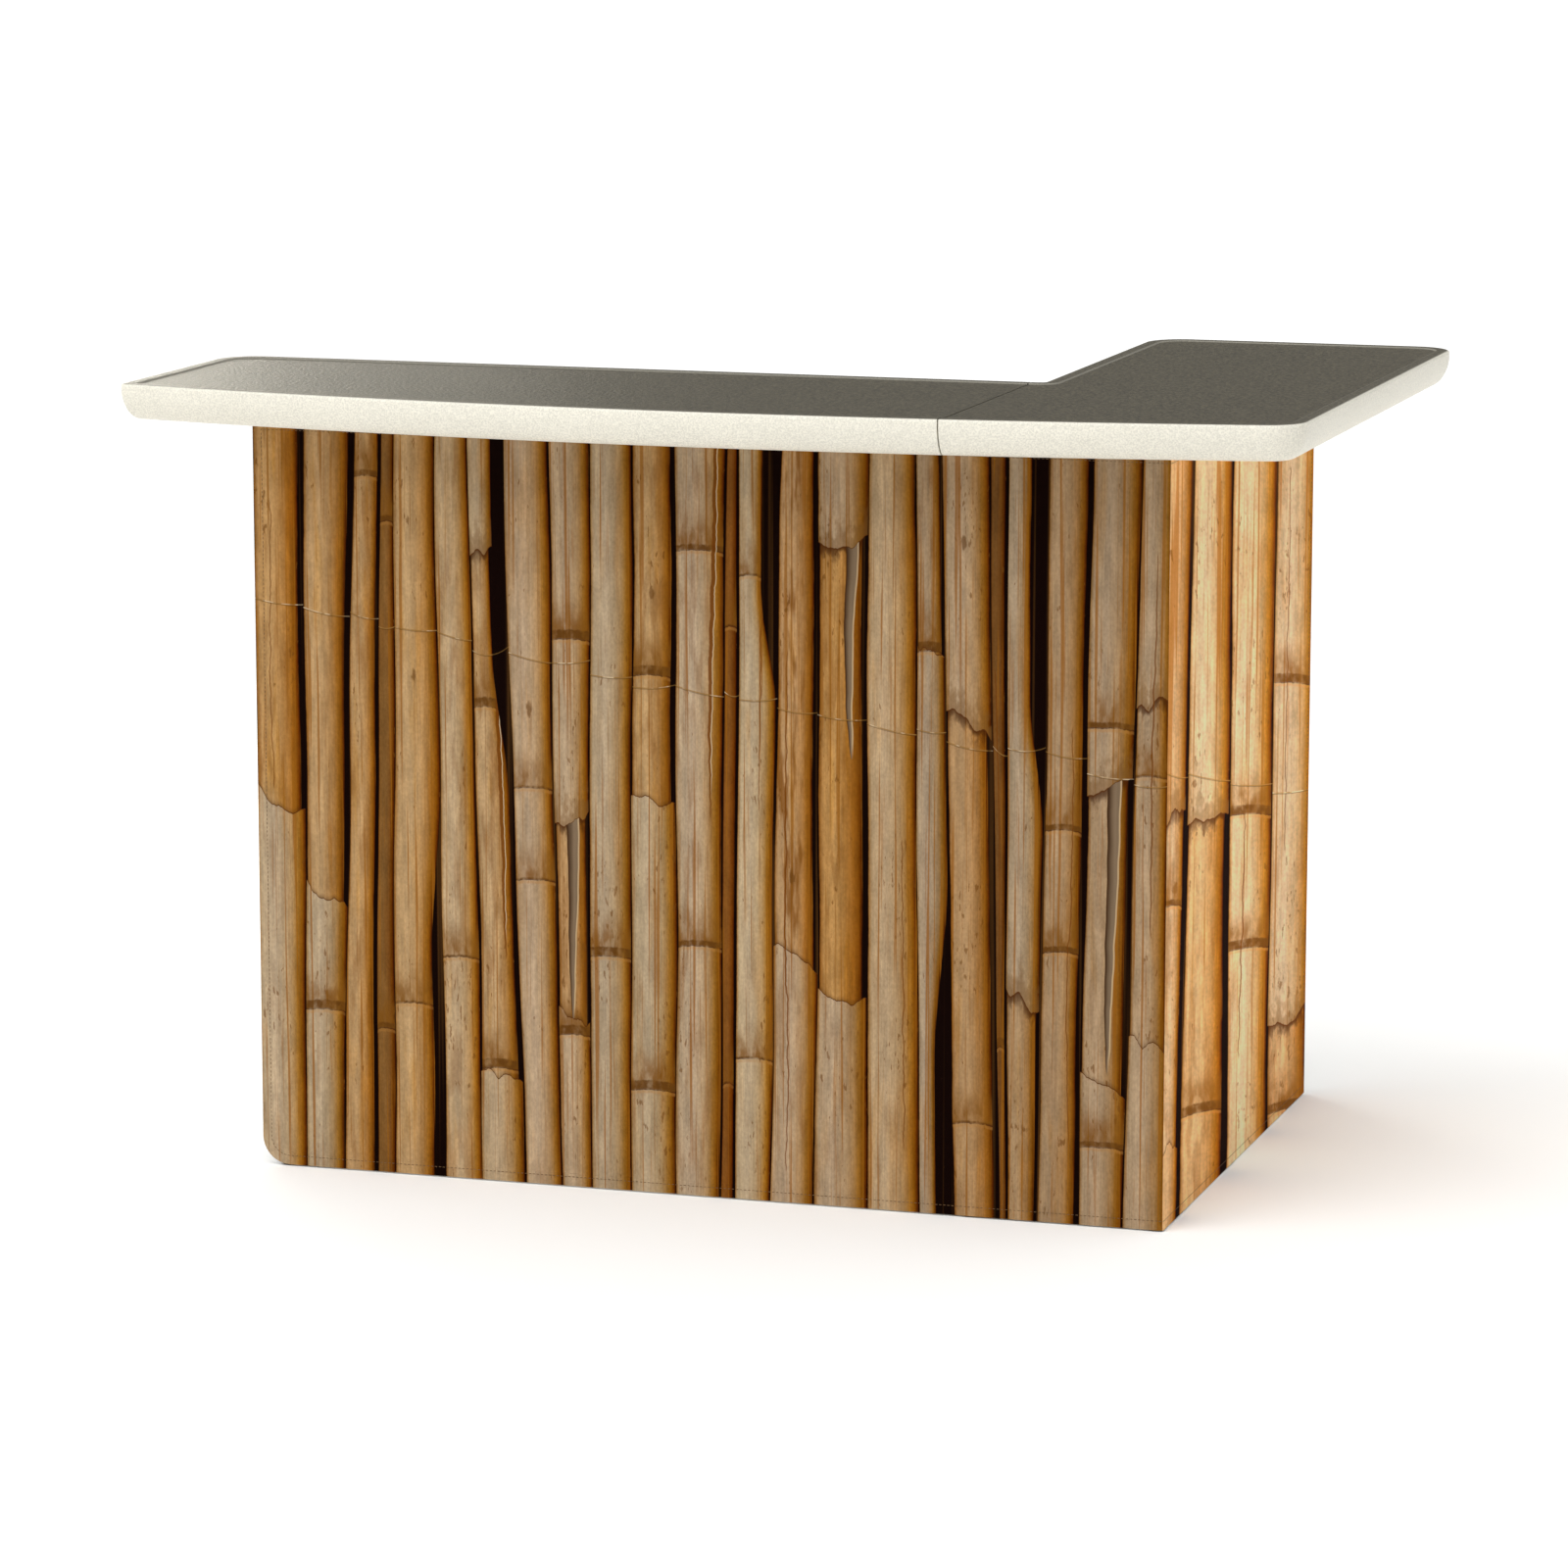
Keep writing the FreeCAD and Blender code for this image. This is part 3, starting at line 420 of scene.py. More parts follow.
def rim_profile():
    thick = COUNTER_TOP - UNDERSIDE
    profile = [(FOOT, thick, 0.0)]
    for i in range(15):
        angle = QUARTER * (1 - i / 14)
        inset = HULL_REACH * (1 - math.cos(angle)) ** HULL_SLOPE
        profile.append((inset, HULL_TOP + (thick - HULL_TOP) * math.sin(angle), 0.0))
    profile.append((0.0, HULL_TOP / 2, 0.0))
    for i, tone in enumerate(EDGE_TONES):
        angle = QUARTER * i / 5
        across, down = 1 - math.cos(angle), 1 - math.sin(angle)
        profile.append((EDGE_ROUND * across, EDGE_ROUND * down, tone))
    return profile + LIP + STEP + FIELD


RIM = rim_profile()
print("rim profile:", len(RIM), "steps from the underside to the field")

# %% [markdown]
# Blow-moulded tops have rows of small cups pressed up into their underside. The two walls of
# plastic touch at their tips, which stiffens the panel. They repeat, so Geometry Nodes make
# them. The counter's mesh brings one loose point for each cup and a round hole in its
# underside, and the tree puts a cup on every point and welds its mouth to the hole.

# %% Where the cups and the peg sockets are
CUP_MOUTH, CUP_TIP, CUP_DEPTH, CUP_SIDES = 0.013, 0.008, 0.0385, 24
CUP_PITCH, CUP_MARGIN, PEG_CLEARANCE = 0.112, 0.062, 0.029
SOCKET_RADIUS, SOCKET_DEPTH = 0.0086, 0.016


def peg_places(node):
    """Middles of the two pegs below a counter, read from the frame's node."""
    points = np.array([v.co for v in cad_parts[node].data.vertices])
    order = points[points[:, 0].argsort()]
    widest_gap = np.diff(order[:, 0]).argmax()
    pegs = np.split(order, [widest_gap + 1])
    return [Vector(((peg.min(axis=0) + peg.max(axis=0)) / 2)[:2]) for peg in pegs]


def cup_places(left, right, back, pegs):
    """A grid of cups behind the bow, clear of the peg sockets."""
    sides = [(a + CUP_MARGIN, b - CUP_MARGIN) for a, b in ((left, right), (FRONT_CORNER, back))]
    across, up = (steps_between(a, b, int((b - a) // CUP_PITCH)) for a, b in sides)
    places = [Vector((x, y)) for x in across for y in up]
    return [p for p in places if all((p - peg).length > PEG_CLEARANCE for peg in pegs)]


long_pegs = peg_places("counter_pegs_long")
return_pegs = peg_places("counter_pegs_return")
long_cups = cup_places(BAR_LEFT, CUT_LONG, LONG_BACK, long_pegs)
return_cups = cup_places(RETURN_LEFT, BAR_RIGHT, BAR_BACK, return_pegs)
print("cups:", len(long_cups), "and", len(return_cups))
print("pegs at:", [[round(x, 4) for x in peg] for peg in long_pegs + return_pegs])


# %% How every Geometry Nodes tree begins and ends
def new_tree(name, numbers, material):
    """A mesh comes in with these numbers and a material, and a mesh goes out."""
    tree = bpy.data.node_groups.new(name, "GeometryNodeTree")
    new_socket = tree.interface.new_socket
    new_socket("Geometry", in_out="OUTPUT", socket_type="NodeSocketGeometry")
    new_socket("Geometry", in_out="INPUT", socket_type="NodeSocketGeometry")
    for number in numbers:
        new_socket(number, in_out="INPUT", socket_type="NodeSocketFloat")
    new_socket(material, in_out="INPUT", socket_type="NodeSocketMaterial")
    g = Graph(tree)
    return g, g.add("NodeGroupInput", out=tuple(range(len(numbers) + 2)))


def end_tree(g, mesh, material):
    """The export drops instances, so they are made real before they get their finish."""
    real = g.add("GeometryNodeRealizeInstances", sockets={0: mesh})
    dressed = g.add("GeometryNodeSetMaterial", sockets={0: real, "Material": material})
    g.end("NodeGroupOutput", dressed)
    inputs = [item.name for item in g.tree.interface.items_tree if item.in_out == "INPUT"]
    print(f"tree {g.tree.name}: {len(g.tree.nodes)} nodes, inputs {inputs}")
    return g.tree


# %% The tree that sets one cup on every marked point
WELD = 0.00005


def cup_tree():
    numbers = ("Mouth radius", "Tip radius", "Depth", "Kind")
    g, (shell, mouth, tip, depth, kind, plastic) = new_tree("underside_cups", numbers, "Plastic")
    mark = g.add("GeometryNodeInputNamedAttribute", {"data_type": "FLOAT"}, {"Name": "cup_kind"})
    equal = {"data_type": "FLOAT", "operation": "EQUAL"}
    chosen = g.add("FunctionNodeCompare", equal, {0: mark, 1: kind, "Epsilon": 0.1})
    parts = {0: shell, 1: chosen}
    points, rest = g.add("GeometryNodeSeparateGeometry", {"domain": "POINT"}, parts, (0, 1))
    cone = {"Vertices": CUP_SIDES, "Side Segments": 3}
    cone.update({"Radius Top": tip, "Radius Bottom": mouth, "Depth": depth})
    wall = g.add("GeometryNodeMeshCone", {"fill_type": "NONE"}, cone)
    disc = {"Vertices": CUP_SIDES, "Radius": tip}
    floor = g.add("GeometryNodeMeshCircle", {"fill_type": "NGON"}, disc)
    up = g.add("ShaderNodeCombineXYZ", sockets={2: depth})
    lifted = g.add("GeometryNodeTransform", sockets={0: floor, "Translation": up})
    cup = g.add("GeometryNodeJoinGeometry", sockets={0: [wall, lifted]})
    row = g.add("GeometryNodeInstanceOnPoints", sockets={"Points": points, "Instance": cup})
    real = g.add("GeometryNodeRealizeInstances", sockets={0: row})
    whole = g.add("GeometryNodeJoinGeometry", sockets={0: [rest, real]})
    welded = g.add("GeometryNodeMergeByDistance", sockets={0: whole, "Distance": WELD})
    return end_tree(g, welded, plastic)


cups = cup_tree()


# %% A modifier's inputs are set by their identifiers
def grow(piece, tree, values):
    """Puts a tree on a piece with these named inputs, and keeps its result as a plain mesh."""
    modifier = piece.modifiers.new(tree.name, "NODES")
    modifier.node_group = tree
    for item in tree.interface.items_tree:
        if item.in_out == "INPUT" and item.name in values:
            modifier[item.identifier] = values[item.name]
    bpy.context.view_layer.update()
    evaluated = piece.evaluated_get(bpy.context.evaluated_depsgraph_get())
    mesh = bpy.data.meshes.new_from_object(evaluated)
    piece.modifiers.remove(modifier)
    old, piece.data = piece.data, mesh
    bpy.data.meshes.remove(old)
    mesh.name = piece.name


# %% The underside, with its round holes
HOLE_EDGE = 0.988


def hole_points(place, radius):
    angles = [2 * math.pi * i / CUP_SIDES for i in range(CUP_SIDES)]
    return [place + Vector((math.cos(a), math.sin(a))) * radius for a in angles]


def inside(point, polygon):
    """True where a line from the point to the right crosses an odd number of edges."""
    crossings = 0
    for i, a in enumerate(polygon):
        b = polygon[i - 1]
        if (a.y > point.y) != (b.y > point.y):
            crossings += point.x < (b.x - a.x) * (point.y - a.y) / (b.y - a.y) + a.x
    return crossings % 2 == 1


def underside_faces(edge, holes):
    """Triangles between an outer edge and the holes inside it: flat points and their faces."""
    points = [Vector(p.xy) for p in edge]
    loops = [list(range(len(points)))]
    for place, radius in holes:
        loops.append([len(points) + i for i in range(CUP_SIDES)])
        points += hole_points(place, radius)
    edges = [(loop[i - 1], loop[i]) for loop in loops for i in range(len(loop))]
    made, _, faces, _, _, _ = delaunay_2d_cdt(points, edges, [], 0, 1e-7)
    kept = []
    for face in faces:
        middle = sum((made[i] for i in face), Vector((0, 0))) / len(face)
        in_hole = any((middle - place).length < radius * HOLE_EDGE for place, radius in holes)
        if inside(middle, points[:len(edge)]) and not in_hole:
            kept.append(face)
    return made, kept


def shell_faces(across, rings):
    """The rim's faces between the rings, the field in the last ring, and the cut at the seam."""
    end = across * rings
    faces = []
    for start in range(0, end - across, across):
        faces += [(a, a + 1, a + across + 1, a + across) for a in range(start, start + across - 1)]
    cut = [*range(0, end, across), *range(end - 1, 0, -across)]
    return faces + [[*range(end - across, end)], cut]


# %% Two helpers for any piece
def tidy_shell(mesh):
    """Faces outwards, rounded parts smooth and true edges crisp."""
    shell = bmesh.new()
    shell.from_mesh(mesh)
    bmesh.ops.remove_doubles(shell, verts=shell.verts, dist=WELD / 5)
    bmesh.ops.recalc_face_normals(shell, faces=shell.faces)
    shell.to_mesh(mesh)
    shell.free()
    mesh.shade_smooth()
    mesh.set_sharp_from_angle(angle=math.radians(32))


def measure(piece):
    """Prints how many faces a piece has, and its open edges, of which a closed one has none."""
    shell = bmesh.new()
    shell.from_mesh(piece.data)
    open_edges = sum(len(edge.link_faces) != 2 for edge in shell.edges)
    print(f"{piece.name}: {len(shell.faces)} faces, {open_edges} open edges")
    shell.free()


# %% Build a counter and grow its cups
CUP_KINDS = (
    (1.0, CUP_MOUTH, CUP_TIP, CUP_DEPTH),
    (2.0, SOCKET_RADIUS, SOCKET_RADIUS, SOCKET_DEPTH),
)


def counter(name, body, plan, cup_list, peg_list):
    rings = [[Vector((*p, COUNTER_TOP - drop)) for p in plan(inset)] for inset, drop, _ in RIM]
    across = len(rings[0])
    vertices = [p for ring in rings for p in ring]
    # The painted top shade of every point: from the rim's profile on the rings, none below.
    tones = [tone for _, _, tone in RIM for _ in range(across)]
    faces = shell_faces(across, len(rings))
    holes = [(p, CUP_MOUTH) for p in cup_list] + [(p, SOCKET_RADIUS) for p in peg_list]
    flat, triangles = underside_faces(rings[0], holes)
    faces += [[len(vertices) + i for i in face] for face in triangles]
    vertices += [Vector((*p, UNDERSIDE)) for p in flat]
    marks = [0.0] * len(vertices) + [1.0] * len(cup_list) + [2.0] * len(peg_list)
    vertices += [Vector((*p, UNDERSIDE)) for p in cup_list + peg_list]
    tones += [0.0] * (len(vertices) - len(tones))

    mesh = bpy.data.meshes.new(name)
    mesh.from_pydata(vertices, [], faces)
    for attribute, values in (("top_tone", tones), ("cup_kind", marks)):
        mesh.attributes.new(attribute, "FLOAT", "POINT").data.foreach_set("value", values)
    mesh.materials.append(counter_finish)
    piece = add_object(name, mesh)
    for kind, mouth, tip, depth in CUP_KINDS:
        sizes = {"Mouth radius": mouth, "Tip radius": tip, "Depth": depth}
        grow(piece, cups, {**sizes, "Kind": kind, "Plastic": counter_finish})
    tidy_shell(piece.data)
    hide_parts(body)
    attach(piece, body)
    measure(piece)


# %% Both counters
counter("long_counter", "counter_long", long_plan, long_cups, long_pegs)
counter("return_counter", "counter_return", return_plan, return_cups, return_pegs)

# %% [markdown]
# The skin is one sheet of printed polyester. It starts at the left end of the front, turns
# round the right corner and ends at the back of the side. The print shows canes standing side
# by side. It is drawn here, not copied: the sheet is divided into one strip for every cane,
# and each strip keeps its own numbers, such as its width, its colours and where it has a
# joint. The material then paints each cane from those numbers.

# %% Sizes of the skin, read from the frame
front_low, front_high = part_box("skin_front")
side_low, side_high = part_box("skin_side")
SKIN_LEFT, SKIN_RIGHT = front_low.x, side_high.x
SKIN_FRONT, SKIN_BACK = front_low.y, side_high.y
SKIN_BOTTOM, SKIN_TOP = front_low.z, front_high.z
SHEET_THICKNESS = 0.0012
FOLD_RADIUS = 0.004
ROUNDED_CORNER = 0.038
HEM = 0.018
BILLOW = 0.0006
FRONT_RUN = SKIN_RIGHT - SKIN_LEFT - FOLD_RADIUS
FOLD_RUN = FOLD_RADIUS * QUARTER
SIDE_RUN = SKIN_BACK - SKIN_FRONT - FOLD_RADIUS
SHEET_RUN = FRONT_RUN + FOLD_RUN + SIDE_RUN
print("sheet:", round(SHEET_RUN, 4), "m long,", round(SKIN_TOP - SKIN_BOTTOM, 4), "m tall")


# %% A point of the sheet
def billow(run, z):
    """How far the fabric stands off a flat plane between the tapes that hold it."""
    part = run / FRONT_RUN if run < FRONT_RUN else (run - FRONT_RUN - FOLD_RUN) / SIDE_RUN
    part = min(max(part, 0.0), 1.0)
    up = (z - SKIN_BOTTOM) / (SKIN_TOP - SKIN_BOTTOM)
    held = max(0.0, math.sin(math.pi * part) * math.sin(math.pi * up)) ** 0.6
    ripple = math.sin(run * 9.1 + 1.3 * math.sin(z * 5.0))
    ripple += 0.6 * math.sin(run * 21.0 + z * 3.1 + 0.8)
    return BILLOW * held * (1.0 + 0.5 * ripple)


def on_sheet(run, z, depth=0.0):
    """The place in the room of a point that is run metres along the sheet and depth inside."""
    if run <= FRONT_RUN:
        place, way = Vector((SKIN_LEFT + run, SKIN_FRONT)), Vector((0, -1))
    elif run >= FRONT_RUN + FOLD_RUN:
        y = SKIN_FRONT + FOLD_RADIUS + run - FRONT_RUN - FOLD_RUN
        place, way = Vector((SKIN_RIGHT, y)), Vector((1, 0))
    else:
        angle = (run - FRONT_RUN) / FOLD_RADIUS
        way = Vector((math.sin(angle), -math.cos(angle)))
        centre = Vector((SKIN_RIGHT - FOLD_RADIUS, SKIN_FRONT + FOLD_RADIUS))
        place = centre + way * FOLD_RADIUS
    place = place + way * (billow(run, z) - depth)
    return Vector((*place, z))


# %% How wide each cane is. Three canes stand further back and show only a sliver
chance = np.random.default_rng(41)
FRONT_CANES, SIDE_CANES = 24, 4
CANES = FRONT_CANES + SIDE_CANES
SET_BACK = (3, 12, 19)


def front_widths():
    """Random widths that fill the front."""
    limits = [(0.016, 0.024) if i in SET_BACK else (0.038, 0.068) for i in range(FRONT_CANES)]
    widths = np.array([chance.uniform(low, high) for low, high in limits])
    return widths * (FRONT_RUN + FOLD_RUN / 2) / widths.sum()


side_shares = np.array([0.42, 1.0, 1.04, 0.95])
side_widths = side_shares * (SIDE_RUN + FOLD_RUN / 2) / side_shares.sum()
widths = np.concatenate([front_widths(), side_widths])
starts = np.concatenate([[0.0], np.cumsum(widths)])
print("canes:", CANES, "from", round(widths.min(), 3), "to", round(widths.max(), 3), "m wide")

# %% Where each cane is bare, by height. Above 1.1 or below 0, an end isn't on the sheet
STORIES = ["sheath above", "bare middle", "whole", "sheath below", "bare"]
SHARES = [0.26, 0.18, 0.36, 0.13, 0.07]


def bare_length(story):
    """The lower and upper end of a cane's bare length."""
    if story == "sheath above":
        return -1.0, chance.uniform(0.25, 0.9)
    if story == "sheath below":
        return chance.uniform(0.3, 0.85), 2.0
    if story == "bare middle":
        return chance.uniform(0.1, 0.42), chance.uniform(0.5, 0.93)
    return (-1.0, 2.0) if story == "bare" else (-2.0, -1.0)


def perhaps(odds, low, high, otherwise):
    """A number between two limits, or the other one where the odds are against it."""
    return chance.uniform(low, high) if chance.random() < odds else otherwise


# %% What only some canes have
# The picture is four times wider on the side, and slopes there.
SIDE_SLOPE, SIDE_SCALE = 0.169, 0.25
# A dark slot runs along some canes' right edge. It is shut at one height and open at another.
SLOTS = {6: (0.52, 0.72), 13: (0.66, 0.82), 17: (0.46, 0.2), 20: (0.5, 0.7)}
# Three canes burst below their sheath. Right of this run, the front's canes are duller.
HOLLOWS = (8, 15, 22)
DIM_FROM = 0.86
# Where a mark goes that a cane doesn't have: far across it, or below the sheet.
NOWHERE, OFF_SHEET = 5.0, -1.0


# %% One set of numbers for every cane
def cane_numbers(i):
    """Everything the material wants to know about cane i."""
    side = i >= FRONT_CANES
    dim = starts[i] > DIM_FROM and not side
    story = chance.choice(STORIES, p=SHARES)
    bare_from, bare_to = bare_length("bare middle" if i in HOLLOWS else story)
    joint = perhaps(0.7, 0.5, 0.97, OFF_SHEET)
    other_joint = perhaps(0.6, 0.06, 0.45, OFF_SHEET)
    split = perhaps(0.42, -0.6, 0.6, NOWHERE)
    split_low = chance.uniform(-0.1, 0.6)
    half_width = widths[i] / 2 * (SIDE_SCALE if side else 1.0)
    gap = chance.uniform(0.0006, 0.0020) * (1.5 if side else 1.0)
    slot_shut, slot_open = SLOTS.get(i, (0.0, 1.0))
    shade = chance.uniform(0.89, 1.05) * (0.86 if dim else 1.0)
    gold_share, bare_share = (0.3, 0.65) if side or dim else (1.0, 1.0)
    return {
        "seed": chance.random(),
        "half_width": half_width,
        "left": chance.uniform(-1.02, -0.99),
        "right": 1.0 - gap / half_width,
        "slot": chance.uniform(0.016, 0.021) / half_width if i in SLOTS else 0.0,
        "slot_shut": slot_shut,
        "slot_open": slot_open,
        "shade": shade,
        "behind": float(i in SET_BACK),
        "warmth": chance.random() * (0.4 if dim else 1.0),
        "gold": chance.choice([0.0, 0.1, 0.2, 0.5], p=[0.45, 0.3, 0.15, 0.1]) * gold_share,
        "bare_gold": chance.uniform(0.3, 0.9) * bare_share,
        "bare_from": bare_from,
        "bare_to": bare_to,
        "slant": chance.uniform(-1.0, 1.0),
        "joint": joint,
        "other_joint": other_joint,
        "band": chance.choice([0.004, 0.009, 0.014], p=[0.25, 0.4, 0.35]),
        "split": split,
        "split_low": split_low,
        "split_high": split_low + chance.uniform(0.2, 0.8),
        "split_open": chance.choice([0.0001, 0.0005, 0.0022], p=[0.5, 0.35, 0.15]),
        "hollow": chance.uniform(-0.2, 0.4) if i in HOLLOWS else NOWHERE,
        "hollow_low": bare_to - chance.uniform(0.26, 0.42),
        "hollow_width": chance.uniform(0.006, 0.010),
        "bud": perhaps(0.3, 0.1, 0.95, OFF_SHEET),
        "stains": chance.choice([0.15, 0.45, 0.9], p=[0.45, 0.35, 0.2]),
        "sun": float(side),
    }


canes = [cane_numbers(i) for i in range(CANES)]
print("first cane:", {name: round(float(number), 3) for name, number in canes[0].items()})

# %% No gap at the sheet's ends and at the fold, and two canes set one by one
canes[0]["left"] = -1.05
canes[FRONT_CANES - 1]["right"] = canes[-1]["right"] = 1.2
canes[FRONT_CANES].update(left=-1.2, shade=0.86, gold=0.45)
canes[4].update(slot=0.014 / canes[4]["half_width"], slot_shut=0.52, slot_open=0.3)

# %% The binding wire steps down from cane to cane, towards the right
WIRE_LEFT, WIRE_RIGHT = 0.78, 0.59
for start, numbers in zip(starts, canes):
    share = min(1.0, start / FRONT_RUN) ** 0.8
    numbers["wire"] = WIRE_LEFT + (WIRE_RIGHT - WIRE_LEFT) * share + chance.uniform(-0.011, 0.011)
    numbers["wire_tilt"] = chance.uniform(-0.006, 0.004)
print("wire heights:", [round(float(numbers["wire"]), 3) for numbers in canes[:6]])

# %% Edges between the canes, which lean and wander a little
EDGES = CANES + 1
LEAN = 0.018 * np.sin(0.55 * np.arange(EDGES) + 1.0) + chance.uniform(-0.012, 0.012, EDGES)
PHASE = chance.uniform(0, 2 * math.pi, (EDGES, 2))
WANDER = chance.uniform(0.0004, 0.0015, (EDGES, 2))
WAVES = (6.0, 13.0)
SIDE_WANDER = 2.2


def edge_run(i, z):
    """How far along the sheet the edge between cane i - 1 and cane i is, at height z."""
    if i in (0, FRONT_CANES, CANES):
        return starts[i] if i < CANES else SHEET_RUN
    up = z - (SKIN_BOTTOM + SKIN_TOP) / 2
    wander = sum(WANDER[i][k] * math.sin(WAVES[k] * z + PHASE[i][k]) for k in (0, 1))
    return starts[i] + (SIDE_WANDER if i > FRONT_CANES else 1.0) * (LEAN[i] * up + wander)


def left_edge(z):
    """The sheet's own left edge, with its rounded lower corner."""
    rise = z - SKIN_BOTTOM
    if rise >= ROUNDED_CORNER:
        return 0.0
    return ROUNDED_CORNER - math.sqrt(max(0.0, ROUNDED_CORNER ** 2 - (ROUNDED_CORNER - rise) ** 2))


def from_border(run, z):
    """How far a point lies from the nearest edge of the sheet."""
    rise = z - SKIN_BOTTOM
    if run < ROUNDED_CORNER and rise < ROUNDED_CORNER:
        return ROUNDED_CORNER - math.hypot(ROUNDED_CORNER - run, ROUNDED_CORNER - rise)
    return min(run, rise, SHEET_RUN - run, SKIN_TOP - z)


# %% Rows and columns of the sheet. The fold and the hinge need narrow columns
FRONT_COLUMNS, SIDE_COLUMN_WIDTH = 5, 0.008


def sheet_rows():
    rows = [SKIN_BOTTOM + ROUNDED_CORNER * (1 - math.cos(QUARTER * i / 9)) for i in range(10)]
    rows += steps_between(rows[-1], SKIN_TOP - 2 * HEM, 46)[1:]
    return rows + [SKIN_TOP - HEM * share for share in (1.5, 1.0, 0.5, 0.0)]


def columns_of(i):
    """How many columns of faces cane i gets."""
    return FRONT_COLUMNS if i < FRONT_CANES else max(4, round(widths[i] / SIDE_COLUMN_WIDTH))


def row_points(z):
    """Each point of a row: how far along, its cane, and where across it, from -1 to 1."""
    line = []
    for i in range(CANES):
        low, high = edge_run(i, z), edge_run(i + 1, z)
        start = left_edge(z) if i == 0 else low
        for run in steps_between(start, high, columns_of(i))[:-1]:
            line.append((run, i, -1 + 2 * (run - low) / (high - low)))
    return line + [(SHEET_RUN, CANES - 1, 1.0)]


ROWS = sheet_rows()
print("rows:", len(ROWS), "columns:", sum(columns_of(i) for i in range(CANES)))


# %% The faces of the sheet: its corners, its cane, where across it they are, and its finish
def across_face(below, above, c):
    """The cane of a face, and where across it the face's four corners are."""
    cane = below[c][1]
    last = c + 2 == len(below) or below[c + 1][1] != cane
    right = (1.0, 1.0) if last else (below[c + 1][2], above[c + 1][2])
    return cane, [below[c][2], *right, above[c][2]]


def skin_faces(lines):
    wide = len(lines[0])
    half = wide * len(lines)
    faces = []
    for j in range(len(lines) - 1):
        for c in range(wide - 1):
            a = j * wide + c
            corners = (a, a + 1, a + wide + 1, a + wide)
            cane, across = across_face(lines[j], lines[j + 1], c)
            faces.append((corners, cane, across, 0))
            faces.append((tuple(half + k for k in corners[::-1]), cane, [0.0] * 4, 1))
    border = [*range(wide), *range(2 * wide - 1, half, wide)]
    border += [*range(half - 2, half - wide - 1, -1), *range(half - 2 * wide, -1, -wide)]
    for a, b in zip(border, border[1:]):
        faces.append(((b, a, half + a, half + b), 0, [0.0] * 4, 1))
    return faces


# %% The sheet itself
def skin_mesh():
    lines = [row_points(z) for z in ROWS]
    runs = [run for line in lines for run, _, _ in line]
    heights = [z for z, line in zip(ROWS, lines) for _ in line]
    flat = list(zip(runs, heights))
    faces = skin_faces(lines)
    mesh = bpy.data.meshes.new("printed_skin")
    both = [on_sheet(run, z, depth) for depth in (0.0, SHEET_THICKNESS) for run, z in flat]
    mesh.from_pydata(both, [], [corners for corners, _, _, _ in faces])
    attributes = {
        "across": ("CORNER", [value for _, _, across, _ in faces for value in across]),
        "run": ("POINT", runs * 2),
        "height": ("POINT", heights * 2),
        "border": ("POINT", [from_border(run, z) for run, z in flat] * 2),
    }
    for name in canes[0]:
        attributes[name] = ("FACE", [float(canes[cane][name]) for _, cane, _, _ in faces])
    for name, (domain, values) in attributes.items():
        mesh.attributes.new(name, "FLOAT", domain).data.foreach_set("value", values)
    mesh.polygons.foreach_set("material_index", [finish for _, _, _, finish in faces])
    return mesh


# %% [markdown]
# The print's material works on three numbers: how far across its cane a point is, from -1 to
# 1, how high it is, and how far along the sheet. From them come the dark gap beside each cane,
# the round shading, the pale sheath with its torn ends on a golden stalk, the brown joints,
# the splits, buds and flecks, and the thin wire that binds the canes. On the side the picture
# is four times wider and slopes, as the real sheet's does. A fine weave lies over everything,
# because the real thing is fabric.

# %% Colours across a cane, from its lit left edge to its dark right edge
SHEATH_COLOURS = [
    (0.0, 104, 60, 14), (0.025, 156, 122, 76), (0.08, 178, 156, 123), (0.36, 181, 160, 130),
    (0.56, 176, 151, 115), (0.71, 166, 133, 88), (0.82, 153, 108, 42), (0.90, 132, 82, 14),
    (0.965, 96, 44, 3), (1.0, 36, 8, 1),
]
STALK_COLOURS = [
    (0.0, 98, 50, 8), (0.03, 150, 98, 36), (0.11, 177, 130, 67), (0.38, 184, 138, 74),
    (0.60, 172, 118, 48), (0.78, 154, 96, 26), (0.91, 126, 70, 8), (0.965, 88, 38, 2),
    (1.0, 32, 6, 1),
]
# Half sizes of a bud, how far a joint's stain runs up, and how soft a cane's edge is, in metres
BUD_WIDE, BUD_TALL = 0.0042, 0.011
STAIN_RISE, SOFT_EDGE = 0.055, 0.0006
# How fine the threads are, in radians of a sine for each metre
PRINT_THREADS, BACK_THREADS = 9000.0, 6000.0
# Fibres: changes for each metre across and up, their noise's limits, their dark and light
FIBRES = (
    (520.0, 14.0, 0.28, 0.72, 0.91, 1.08),
    (330.0, 190.0, 0.32, 0.68, 0.91, 1.08),
    (75.0, 1.8, 0.3, 0.7, 0.88, 1.08),
    (90.0, 22.0, 0.3, 0.7, 0.87, 1.09),
)


